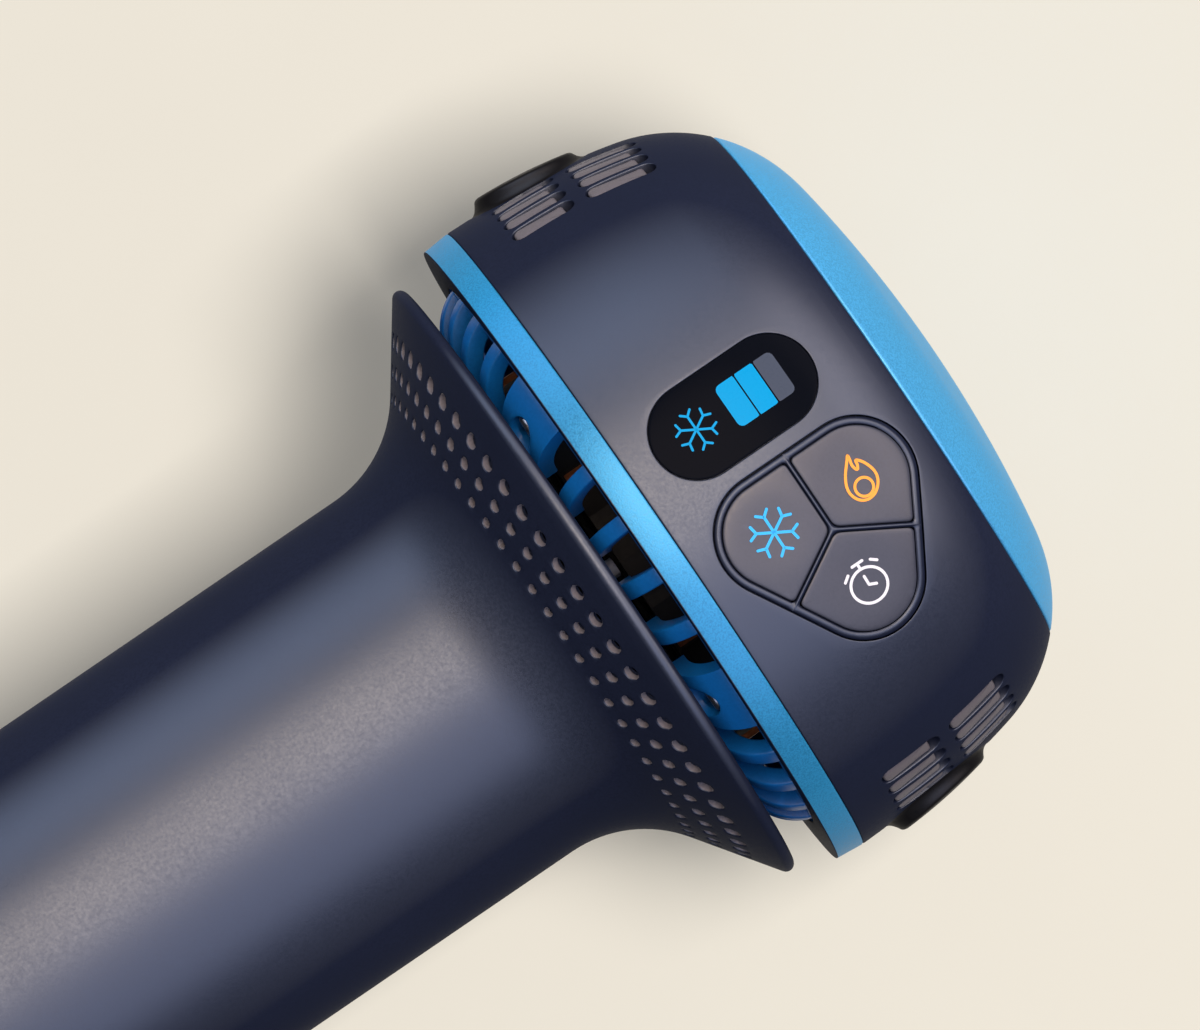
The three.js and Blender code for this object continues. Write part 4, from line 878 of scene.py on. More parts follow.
@dataclass(frozen=True)
class Handle:
    """Round handle that flares into a perforated bell."""

    bottom: float = 10.0  # height of its lower end
    edge: float = 0.25  # radius of the edge of that end
    radius: float = 23.997  # outer radius of the tube
    flare: float = 14.74  # radius of the curve between the tube and the bell
    flare_angle: float = radians(54.5)  # angle of the bell's wall from upright
    lip_centre: Pair = (38.85, 99.88)  # radius and height of the middle of the rolled lip
    lip_radius: float = 0.85  # radius of the lip, which is half the bell's wall
    wall: float = 2.4  # thickness of the tube
    # distance from the lip and radius of the holes in each row
    rows: Pairs = ((4.91, 1.0), (8.31, 0.8), (11.36, 0.63))
    columns: int = 60  # number of holes in a row
    cell_steps: int = 6  # number of faces across the cell of one hole
    margins: Pair = (1.7, 1.35)  # how far the cells reach beyond the first and the last row
    spacing: float = 2.4  # greatest run between two rows of the grid
    inner_start: float = 1.0  # height above the lower end at which the inner side starts
    # outset and depth of the rows of a hole's wall
    hole_rims: Pairs = ((0.12, 0), (0.04, 0.03), (0, 0.1), (0, 1.3))
    # wall, and depths of the outer and inner end, of the sleeve in each hole
    sleeve: Triple = (0.07, 0.12, 0.85)
    sleeve_bite: float = 0.02  # how far a sleeve reaches into the shell
    sleeve_steps: int = 24  # number of faces round a sleeve

    def outline(self) -> tuple[Outline, float, float]:
        """Draws the tube, the flare, the straight wall of the bell and the half circle of its lip.

        Returns:
            The outline, and the runs at which its curve and its lip start.
        """
        slope = np.array([sin(self.flare_angle), cos(self.flare_angle)])
        lip = np.array(self.lip_centre) + self.lip_radius * np.array([slope[1], -slope[0]])
        bend = lip - slope * (lip[0] - self.radius) / slope[0]
        start = bend[1] - self.flare * tan(self.flare_angle / 2)
        body = filleted([
            (self.radius - self.wall, self.bottom, 0),
            (self.radius, self.bottom, self.edge),
            (*bend, self.flare),
            (*lip, 0),
        ], steps=FINE)
        end = pi - self.flare_angle
        rim = arc(self.lip_centre, self.lip_radius, -self.flare_angle, end, steps=10)
        outline = Outline(np.concatenate([body, rim[1:]]))
        return outline, float(outline.run_at(np.array([start]), 1)[0]), float(run_of(body)[-1])

    def build(self) -> None:
        """Makes the shell with its rings of intake holes."""
        outline, curve, lip = self.outline()
        pitch = TURN / self.columns
        middles = [lip - away for away, _ in self.rows]
        borders = [(upper + lower) / 2 for upper, lower in zip(middles, middles[1:])]
        lines = [middles[0] + self.margins[0], *borders, middles[-1] - self.margins[1]]
        low = float(outline.run_at(np.array([self.bottom + self.inner_start]), 1)[0])
        shell = Shell(
            outline,
            (np.arange(self.columns * self.cell_steps + 1) / self.cell_steps - 0.5) * pitch,
            outline.rows([low, lip, *lines], self.spacing),
            (low, lip),
            ((curve, lines[-1]), (self.wall, 2 * self.lip_radius)),
        )
        openings = [
            Opening(
                number * pitch,
                ((number - 0.5) * pitch, (number + 0.5) * pitch),
                (lines[row + 1], lines[row]),
                circle(radius, (0, middles[row])),
                self.hole_rims,
                Drill.SQUARE,
                rings=2,
            )
            for number in range(self.columns)
            for row, (_, radius) in enumerate(self.rows)
        ]
        mesh = PieceMesh()
        shell.build(mesh, openings)
        mesh.build("handle", SOFT_TOUCH, nodes=["handle_shell"])
        self.sleeves(outline, middles)

    def sleeves(self, outline: Outline, middles: Sequence[float]) -> None:
        """Makes the pale grey sleeves in the holes, a guessed part whose pale colour paints the light on the
        holes' walls: the section of a sleeve goes round the middle of each hole.

        Args:
            outline: Outline of the shell.
            middles: Run of the middle of the holes in each row.
        """
        wall, start, end = self.sleeve
        mesh = PieceMesh()
        turn = np.linspace(0, TURN, self.sleeve_steps + 1)[:-1]
        bite = self.sleeve_bite
        for (_, radius), middle in zip(self.rows, middles):
            reach = radius + np.array([bite, -wall, -wall, bite, bite])[:, None]
            depth = np.array([start, start, end, end, start])[:, None]
            run = middle + reach * np.sin(turn)
            across = reach * np.cos(turn) / outline.at(run)[0]
            for number in range(self.columns):
                angle = number * TURN / self.columns + across
                mesh.grid(outline.place(angle, run, depth), around=True)
        mesh.build("intake_sleeves", SLEEVE_PAINTED_LIGHT)


@dataclass(frozen=True)
class Base:
    """Cap that closes the handle, with the opening for the charging inlet, and the rubber foot."""

    radius: float = 23.997  # outer radius
    bottom: float = 0.8  # height of the cap's lower edge
    top: float = 10.0  # height of its upper edge
    edge: float = 1.6  # radius of the lower edge
    small_edges: Pair = (0.25, 0.2)  # radius of the edges of the pocket and of the top
    pocket: float = 19.3  # radius of the pocket for the foot
    # gap over the foot, how far the pocket's floor reaches into the wall, and height of its upper side
    pocket_floor: Triple = (0.05, 0.3, 2.6)
    wall: float = 2.2  # thickness of the cap's wall
    inner_drop: float = 0.2  # how far short of the wall's thickness the outline starts in the pocket
    outside: float = 4.0  # run from which the outline is on the outside
    spacing: Pair = (0.05, 1.2)  # greatest angle and run between two lines of the grid
    foot: Triple = (19.0, 1.6, 0.5)  # radius, height and lower edge of the foot
    port_height: float = 7.43  # height of the middle of the inlet
    port: Triple = (9.54, 3.86, 1.85)  # width, height and corner radius of the opening for the inlet
    # outset and depth of the rows of the opening's wall
    port_rims: Pairs = ((0.3, 0), (0.09, 0.09), (0, 0.3), (0, 1.4))
    port_side: float = 0.24  # half the angle of the window that the opening lies in
    port_ends: Pair = (4.9, 9.7)  # heights of the lower and upper end of that window

    def build(self) -> None:
        """Makes the cap and the foot."""
        start = self.bottom + self.wall - self.inner_drop
        outline = Outline(filleted([
            (self.pocket, start, 0),
            (self.pocket, self.bottom, self.small_edges[0]),
            (self.radius, self.bottom, self.edge),
            (self.radius, self.top, self.small_edges[1]),
            (self.radius - self.wall, self.top, 0),
        ], steps=8))
        low, *ends = outline.run_at(np.array([start, *self.port_ends]), 1, self.outside)
        sides = (pi - self.port_side, pi + self.port_side)
        shell = Shell(
            outline,
            filled([0, *sides, TURN], self.spacing[0]),
            outline.rows([low, *ends], self.spacing[1]),
            (low, ends[-1]),
            ((0.0, 1.0), (self.wall, self.wall)),
        )
        inlet = Opening(
            pi,
            sides,
            tuple(ends),
            rounded_box(*self.port, (0, self.port_height)),
            self.port_rims,
        )
        mesh = PieceMesh()
        shell.build(mesh, [inlet])
        radius, height, edge = self.foot
        gap, lap, upper = self.pocket_floor
        lower, reach = height + gap, self.pocket + lap
        mesh.turned(np.array([(0, lower), (reach, lower), (reach, upper), (0, upper)]), steps=96)
        mesh.build("base_cap", SOFT_TOUCH, nodes=["base_cap"])

        pad = PieceMesh()
        profile = filleted([(0, 0, 0), (radius, 0, edge), (radius, height, 0), (0, height, 0)])
        pad.turned(profile, steps=96)
        pad.build("foot_pad", FOOT_RUBBER, nodes=["foot_pad"])


@dataclass(frozen=True)
class VaneBowl:
    """Rolled bowl under the head, cut into vanes, with four bosses for its screws."""

    bore: float = 22.6  # radius of the hole in its floor
    bottom: float = 100.5  # height of its floor
    roll: float = 7.3  # radius of the rolled wall
    roll_centre: Pair = (29.498, 107.8)  # radius and height of the middle of the roll
    radius: float = 36.24  # outer radius of the rim
    rim: Pair = (105.0, 110.35)  # heights of the lower and upper edge of the rim
    # radius of the edges of the rim, anticlockwise from the lower inner one
    rim_edges: tuple[float, ...] = (0.3, 0.4, 0.2, 0.2)
    wall: float = 2.2  # thickness of the wall
    # thickness of the floor, how far it reaches past the middle of the roll, and radius of its edges
    floor: Triple = (0.6, 0.4, 0.2)
    overrun: Pair = (3.0, 2.0)  # how far the roll's outline goes on at its lower and its upper end
    places: int = 32  # number of places round the bowl for a gap between vanes
    bosses: tuple[int, ...] = (3, 13, 19, 29)  # places that are filled by a boss
    vane: Pair = (2.1, 0.3)  # thickness of a vane and radius of its edges
    ends: Pair = (1.6, 0.6)  # run at which the vanes start, and how far from the end of the outline they stop
    vane_steps: int = 30  # number of sections in a vane
    screw_reach: float = 32.4  # distance of the screws from the axis
    # half the angle, and the radii of the lower and upper end, of the window for a recess
    window: Triple = (0.09, 29.75, 34.95)
    spacing: Pair = (0.012, 0.42)  # greatest angle and run between two lines of a boss's grid
    recess: float = 2.2  # radius of the recess for a screw's head
    # outset and depth of the rows of its wall
    recess_rims: Pairs = ((0.22, 0), (0.07, 0.07), (0, 0.22), (0, 1.0))
    seat: float = 103.7  # height of the seat of the screw's head
    post: Pair = (2.75, 6.5)  # radius and height of the post behind a recess
    # radius of the screw's head and of its shank, height of the head and length of the shank
    screw: Quad = (2.0, 1.15, 1.5, 10.0)
    socket: Pair = (0.78, 0.9)  # radius and depth of the round socket in the head
    screw_edges: Triple = (0.1, 0.5, 0.3)  # radius of the edges of the socket, of the head and of the tip

    def outline(self) -> Outline:
        """Draws the outside of the roll, an arc from the floor up to the rim.

        Returns:
            The outline.
        """
        end = asin((self.rim[0] - self.roll_centre[1]) / self.roll)
        roll = arc(self.roll_centre, self.roll, -pi / 2, end, steps=22)
        first = (self.roll_centre[0] - self.overrun[0], self.bottom)
        last = (self.radius, self.rim[0] + self.overrun[1])
        return Outline(np.concatenate([[first], roll, [last]]))

    def screw_spot(self, angle: float) -> Triple:
        """Returns the place of the seat of the screw at an angle."""
        return (self.screw_reach * sin(angle), -self.screw_reach * cos(angle), self.seat)

    def vanes(self, mesh: PieceMesh) -> None:
        """Adds the vanes: a rounded section that is carried along the roll at each vane's angle.

        Args:
            mesh: Mesh that they are added to.
        """
        outline = self.outline()
        step = TURN / self.places
        blocked = {(boss + side) % self.places for boss in self.bosses for side in (0, 1)}
        width, edge = self.vane
        section = rounded_box(width, self.wall, edge, (0, self.wall / 2))[::4]
        start, short = self.ends
        runs = np.linspace(start, outline.run[-1] - short, self.vane_steps)[:, None]
        for number in range(self.places):
            if number in blocked:
                continue
            angle = (number - 0.5) * step
            places = outline.place(np.full((1, 1), angle), runs, section[None, :, 1])
            across = np.array([cos(angle), sin(angle), 0.0])
            mesh.tube(places + section[None, :, :1] * across)

    def boss(self, mesh: PieceMesh, angle: float) -> None:
        """Adds a boss: a solid part of the roll with a recess for a screw, and the post behind it.

        Args:
            mesh: Mesh that it is added to.
            angle: Its angle.
        """
        outline = self.outline()
        half = pi / self.places + self.vane[0] / 2 / self.radius
        window, *radii = self.window
        ends = tuple(float(run) for run in outline.run_at(np.array(radii), 0))
        first, last = self.ends[0], float(outline.run[-1] - self.ends[1])
        shell = Shell(
            outline,
            filled([angle - half, angle - window, angle + window, angle + half], self.spacing[0]),
            filled([first, *ends, last], self.spacing[1]),
            (first, last),
            ((0.0, 1.0), (self.wall, self.wall)),
            around=False,
        )
        recess = Opening(
            angle,
            (angle - window, angle + window),
            ends,
            circle(self.recess, (0, self.screw_reach)),
            self.recess_rims,
            Drill.UPWARD,
        )
        shell.build(mesh, [recess])
        radius, height = self.post
        post = np.array([(0, 0), (radius, 0), (radius, height), (0, height)])
        mesh.turned(post, 32, self.screw_spot(angle))

    def drive_screw(self, angle: float, number: int) -> None:
        """Makes one screw: a domed head with a socket, and a shank.

        Args:
            angle: Its angle.
            number: Its number.
        """
        head, shank, height, length = self.screw
        socket, depth = self.socket
        mouth, dome, tip = self.screw_edges
        profile = filleted([
            (0, depth - height, 0),
            (socket, depth - height, 0),
            (socket, -height, mouth),
            (head, -height, dome),
            (head, 0, 0),
            (shank, 0, 0),
            (shank, length, tip),
            (0, length, 0),
        ])
        mesh = PieceMesh()
        mesh.turned(profile, 36, self.screw_spot(angle))
        mesh.build(f"bowl_screw_{number}", STEEL, nodes=[f"bowl_screw_{number}"])

    def build(self) -> None:
        """Makes the bowl and its screws."""
        mesh = PieceMesh()
        thickness, lap, edge = self.floor
        reach = self.roll_centre[0] + lap
        parts = (
            ((self.bore, reach), (self.bottom, self.bottom + thickness), (edge,) * 4),
            ((self.radius - self.wall, self.radius), self.rim, self.rim_edges),
        )
        for (inner, outer), (low, high), edges in parts:
            corners = [(inner, low), (outer, low), (outer, high), (inner, high)]
            profile = filleted(np.column_stack([corners, edges]), closed=True, steps=3)
            mesh.turned(profile, steps=128)
        self.vanes(mesh)
        angles = [boss * TURN / self.places for boss in self.bosses]
        for angle in angles:
            self.boss(mesh, angle)
        mesh.build("vane_bowl", VANE_BLUE, nodes=["vane_bowl"])
        for number, angle in enumerate(angles, 1):
            self.drive_screw(angle, number)


@dataclass(frozen=True)
class HeadForm:
    """Form of the head: a drafted wall, a long curve, a tight shoulder and a flat crown."""

    bottom: float = 108.3998  # height of the lower edge
    radius: float = 41.85  # radius of the lower edge
    edge: float = 0.2  # radius by which that edge is rounded
    straight: float = 7.04  # height of the drafted wall
    draft: float = radians(1.7)  # its angle
    curve: float = 67.4  # radius of the long curve
    shoulder_start: float = radians(14.25)  # angle at which the shoulder follows on the curve
    shoulder: float = 19.4  # radius of the shoulder
    shoulder_end: float = radians(80.3)  # angle at which the crown follows on the shoulder
    seam: float = 139.2998  # height of the seam between the housing and the contact plate
    eased: float = 0.22  # radius of the edges on both sides of the seam
    seam_width: float = 1.6  # how far the housing's outline follows the seam inwards
    inner: float = 38.5  # radius at which the housing's outline starts inside
    outside: float = 4.0  # run from which the housing's outline is on the outside

    def centres(self) -> tuple[Pair, Pair]:
        """Works out the middles of the two curves of the side, each of which runs on from the one below it.

        Returns:
            Radius and height of the middle of the long curve, and of the middle of the shoulder.
        """
        radius = self.radius - self.straight * tan(self.draft)
        height = self.bottom + self.straight
        curve = (radius - self.curve * cos(self.draft), height - self.curve * sin(self.draft))
        away = self.curve - self.shoulder
        start = self.shoulder_start
        return curve, (curve[0] + away * cos(start), curve[1] + away * sin(start))

    def eased_edge(self, side: int) -> tuple[Pair, float]:
        """Works out the rounding of an edge at the seam, which touches the shoulder and the seam.

        Args:
            side: 1 for the edge above the seam, -1 for the one below.

        Returns:
            Radius and height of the rounding's middle, and the angle at which it meets the shoulder.
        """
        _, middle = self.centres()
        height = self.seam + side * self.eased
        angle = asin((height - middle[1]) / (self.shoulder - self.eased))
        return (middle[0] + (self.shoulder - self.eased) * cos(angle), height), angle

    def housing(self) -> Outline:
        """Draws the housing, from its lower edge over the skin to the seam.

        Returns:
            The outline.
        """
        curve, shoulder = self.centres()
        edge, angle = self.eased_edge(-1)
        foot = filleted([
            (self.inner, self.bottom, 0),
            (self.radius, self.bottom, self.edge),
            (self.radius - self.straight * tan(self.draft), self.bottom + self.straight, 0),
        ], steps=3)
        return Outline(np.concatenate([
            foot,
            arc(curve, self.curve, self.draft, self.shoulder_start, steps=12),
            arc(shoulder, self.shoulder, self.shoulder_start, angle, steps=FINE),
            arc(edge, self.eased, angle, pi / 2, steps=4),
            [(edge[0] - self.seam_width, self.seam)],
        ]))

    def crown(self) -> Array:
        """Draws the contact plate. The radius of its crown is such that the crown is level on the axis.

        Returns:
            Radius and height of the points, from the axis at the seam round to the top.
        """
        _, shoulder = self.centres()
        edge, angle = self.eased_edge(1)
        end = self.shoulder_end
        rim = (shoulder[0] + self.shoulder * cos(end), shoulder[1] + self.shoulder * sin(end))
        crown = rim[0] / cos(end)
        return np.concatenate([
            [(0, self.seam)],
            arc(edge, self.eased, -pi / 2, angle, steps=4),
            arc(shoulder, self.shoulder, angle, end, steps=24),
            arc((0, rim[1] - crown * sin(end)), crown, end, pi / 2, steps=24),
        ])

    def run_at(self, outline: Outline, heights: Array) -> Array:
        """Returns the runs at which the outside of the housing's outline reaches given heights."""
        return outline.run_at(heights, 1, self.outside)

    def face(self, angle: float = 0.0, hollow: Hollow | None = None) -> Surface:
        """Gives the skin as it is seen square on from an angle round the head.

        Args:
            angle: That angle.
            hollow: Extra depth at each place, if the surface is dished.

        Returns:
            A function of the distance across, the height, and the depth behind the skin.
        """
        outline = self.housing()
        inward = np.array([-sin(angle), cos(angle), 0.0])

        def surface(across: Array, height: Array, depth: float) -> Array:
            """Works out places on the skin, at the angle whose sine is the distance across over the radius.

            Args:
                across: Distances across.
                height: Heights.
                depth: Depth behind the skin.

            Returns:
                The places.
            """
            run = self.run_at(outline, height)
            turned = angle + np.arcsin(np.clip(across / outline.at(run)[0], -1, 1))
            deep = depth + (hollow(across, height) if hollow else 0.0) + 0 * across
            return outline.place(turned, run) + deep[:, None] * inward

        return surface


@dataclass(frozen=True)
class OnHead:
    """Part of the head."""

    form: HeadForm = HeadForm()  # form of the head


@dataclass(frozen=True)
class TrimRing:
    """Blue ring between the vane bowl and the housing, with a dark lip along its lower edge."""

    inner: float = 36.54  # inner radius
    lower: float = 41.55  # radius at its lower edge
    upper: float = 41.85  # radius at its upper edge
    bottom: float = 105.0  # height of the lower edge
    lip: float = 0.1  # height of the lip
    top: float = 108.38  # height of the upper edge
    # radius of the ring's edges, anticlockwise from the lower inner one
    ring_edges: tuple[float, ...] = (0, 0.05, 0.2, 0.2)
    lip_edges: tuple[float, ...] = (0.2, 0.08, 0, 0)  # radius of the lip's edges, in the same order

    def build(self) -> None:
        """Makes the ring and its lip."""
        seam = self.bottom + self.lip
        rows = (
            ("trim_ring", RING_BLUE, ["trim_ring"], seam, self.top, self.upper, self.ring_edges),
            ("trim_lip", SOFT_TOUCH, [], self.bottom, seam, self.lower, self.lip_edges),
        )
        for name, finish, nodes, low, high, upper, edges in rows:
            corners = [(self.inner, low), (self.lower, low), (upper, high), (self.inner, high)]
            mesh = PieceMesh()
            mesh.turned(filleted(np.column_stack([corners, edges]), closed=True), steps=192)
            mesh.build(name, finish, nodes=nodes)


@dataclass(frozen=True)
class Vents(OnHead):
    """Slots beside the side caps, with grey tongues in them."""

    first: float = radians(12.49)  # angle from a side to its nearest slot
    pitch: float = radians(4.9013)  # angle from slot to slot
    columns: int = 4  # number of slots on each side of a cap
    width: float = 2.7  # width of a slot
    # heights of the lower and upper end of the slots in each row
    rows: Pairs = ((113.4, 121.5), (123.0, 131.5))
    opening: float = 1.35  # height of the free way above a tongue
    nip: float = 0.05  # how much smaller than half its width the radius of a slot's ends is
    gap: float = 0.08  # gap between a tongue and its slot
    lower_gap: float = 0.32  # the same at its lower end
    recess: float = 0.02  # depth of the tongues' faces under the skin
    fall: float = 0.2  # how much deeper the upper end of a tongue lies
    corners: Pair = (0.9, 0.25)  # radius of the lower and of the upper corners of a tongue
    # share, inset and depth of the rows of a tongue
    section: tuple[Triple, ...] = (
        (0, 0, 0), (0.5, 0.4, 0), (1, 0.4, 0.02), (1, 0.22, 0.07), (1, 0.1, 0.15), (1, 0.03, 0.27),
        (1, 0, 0.45), (1, 0, 3.0), (0, 0, 3.0),
    )
    reach: float = 41.85  # distance of the slots from the axis
    back: float = 36.2  # distance of the plate behind the slots from the axis
    plate: float = 1.2  # thickness of that plate
    margin: float = 1.6  # how far the plate reaches past the slots

    def slot(self, row: Pair) -> Array:
        """Returns the loop of a slot, which has round ends."""
        low, high = row
        return rounded_box(self.width, high - low, self.width / 2 - self.nip, (0, (low + high) / 2))

    def tongue(self, mesh: PieceMesh, angle: float, row: Pair) -> None:
        """Adds one tongue: a rounded cushion that sinks away from the skin towards its upper end.

        Args:
            mesh: Mesh that it is added to.
            angle: Its angle.
            row: Heights of the lower and upper end of its slot.
        """
        low, high = row[0] + self.lower_gap, row[1] - self.opening
        half = self.width / 2 - self.gap
        below, above = self.corners
        corners = [(-half, low, below), (half, low, below), (half, high, above), (-half, high, above)]
        loop = filleted(corners, closed=True, steps=8)

        def sunk(_: Array, height: Array) -> Array:
            """Returns the recess, and the fall in proportion to the way up."""
            return self.recess + self.fall * np.clip((height - low) / (high - low), 0, 1)

        cushion(mesh, loop, (0, (low + high) / 2), self.form.face(angle, sunk), self.section)

    def plate_behind(self, mesh: PieceMesh, angle: float) -> None:
        """Adds the flat plate behind a group of slots, in strips that leave the ways open.

        Args:
            mesh: Mesh that it is added to.
            angle: Angle of its middle.
        """
        half = self.reach * sin((self.columns - 1) / 2 * self.pitch) + self.width / 2
        marks = [self.rows[0][0] - self.margin]
        for _, high in self.rows:
            marks += [high - self.opening, high]
        marks.append(self.rows[-1][1] + self.margin)
        outward = np.array([sin(angle), -cos(angle), 0.0])
        across = np.array([cos(angle), sin(angle), 0.0])
        for low, high in zip(marks[::2], marks[1::2]):
            corners = [(-half, low), (half, low), (half, high), (-half, high)]
            front = np.array([self.back * outward + u * across + (0, 0, z) for u, z in corners])
            mesh.tube(np.stack([front - self.plate * outward, front]))

    def build(self) -> None:
        """Makes the four louvres."""
        middle = self.first + (self.columns - 1) / 2 * self.pitch
        for side, way in (("right", 1), ("left", -1)):
            for end, turned in (("front", -1), ("rear", 1)):
                group = way * (pi / 2 + turned * middle)
                mesh = PieceMesh()
                for column in range(self.columns):
                    angle = group + (column - (self.columns - 1) / 2) * self.pitch
                    for row in self.rows:
                        self.tongue(mesh, angle, row)
                self.plate_behind(mesh, group)
                name = f"vent_louvre_{side}_{end}"
                mesh.build(name, VENT_GREY, nodes=[name])


@dataclass(frozen=True)
class SideCaps(OnHead):
    """Round black caps on both sides of the head, whose flanks run out onto the housing."""

    height: float = 119.2  # height of the middle of a cap's face
    reach: float = 42.774  # distance of that middle from the device's axis
    tilt: float = radians(7.5)  # angle by which a cap looks up
    face: float = 6.1  # radius of the face
    radius: float = 7.7  # radius of the foot of the flank
    crown: float = 0.3  # height of the face's dome
    dome: Pair = (0.06, 0.93)  # shares of the face's radius between which the dome is made
    edge: float = 0.35  # depth of the rounded edge of the face
    edge_turn: float = pi / 3  # angle of its arc
    fall: float = 2.6  # power by which the flank falls
    # how far the foot of the flank lies under the skin, and how far the cap goes on behind it
    foot: Pair = (0.05, 1.2)
    # number of rings on the dome, on the rounded edge and on the flank
    rings: tuple[int, int, int] = (10, 6, 12)
    around: int = 96  # number of faces round a cap
    steps: int = 12  # number of steps that find the skin
    depth: float = 2.4  # depth of the back under the face
    # radius and length of the spigot behind, and how far it reaches into the cap
    spigot: Triple = (3.0, 2.6, 0.6)
    pocket: float = 7.74  # radius of the pocket that the housing has for it
    pocket_depth: float = 1.35  # depth along the cap's axis at which the middle of that pocket is taken

    def placed(self, depth: Array, up: Array) -> tuple[Array, Array]:
        """Returns X and Z, on the right side, at a depth under the plane of the face and a distance up it."""
        sine, cosine = sin(self.tilt), cos(self.tilt)
        return self.reach - depth * cosine - up * sine, self.height - depth * sine + up * cosine

    def skin_depth(self, across: Array, up: Array) -> Array:
        """Works out how deep under the plane of the face the housing's skin lies.

        Args:
            across: Distances from the middle of the face along Y.
            up: Distances from the middle of the face, square to Y.

        Returns:
            The depth, found by stepping along the axis of the cap until the radius is the skin's.
        """
        outline = self.form.housing()
        depth = np.ones_like(across)
        for _ in range(self.steps):
            x, z = self.placed(depth, up)
            depth += np.hypot(x, across) - outline.at(self.form.run_at(outline, z))[0]
        return depth

    def build(self) -> None:
        """Makes both caps: a dome, the arc of its edge, and a flank that runs out onto the skin.

        The dome sinks with the square of the way out. The flank falls by its whole height times one less a
        power of the share of the way that is still left.
        """
        angles = np.linspace(0, TURN, self.around + 1)[:-1]
        ring = np.stack([np.cos(angles), np.sin(angles)], -1)
        under, skirt = self.foot
        foot = self.skin_depth(self.radius * ring[:, 0], self.radius * ring[:, 1]) + under
        on_dome, on_edge, on_flank = self.rings
        share = np.linspace(0, 1, on_flank)[:, None]
        inner = self.face * np.linspace(*self.dome, on_dome)[:, None]
        rounding = np.linspace(0, self.edge_turn, on_edge)[:, None]
        away = self.edge / (1 - cos(self.edge_turn))
        rim = self.dome[1] * self.face + away * np.sin(rounding)
        rows = [
            (inner, self.crown * (inner / self.face) ** 2 + 0 * foot),
            (rim[1:], self.crown + away * (1 - np.cos(rounding[1:])) + 0 * foot),
        ]
        start, height = rim[-1, 0], self.crown + self.edge
        flank = start + (self.radius - start) * share[1:]
        rows.append((flank, height + (foot - height) * (1 - (1 - share[1:]) ** self.fall)))
        rows.append((np.full((1, 1), self.radius), foot[None] + skirt))
        reach = np.concatenate([np.broadcast_to(row[0], row[1].shape) for row in rows])
        deep = np.concatenate([row[1] for row in rows])
        across, up = reach * ring[:, 0], reach * ring[:, 1]
        x, z = self.placed(deep, up)
        radius, length, lap = self.spigot
        low, high = -self.depth - length, -self.depth + lap
        pin = np.array([(0, low), (radius, low), (radius, high), (0, high)])
        for side, way in (("right", 1), ("left", -1)):
            mesh = PieceMesh()
            mesh.tube(np.stack([way * x, across, z], -1))
            axis = (way * cos(self.tilt), 0, sin(self.tilt))
            mesh.turned(pin, 48, (way * self.reach, 0, self.height), axis)
            mesh.build(f"side_cap_{side}", GLOSS_BLACK, nodes=[f"side_cap_{side}"])


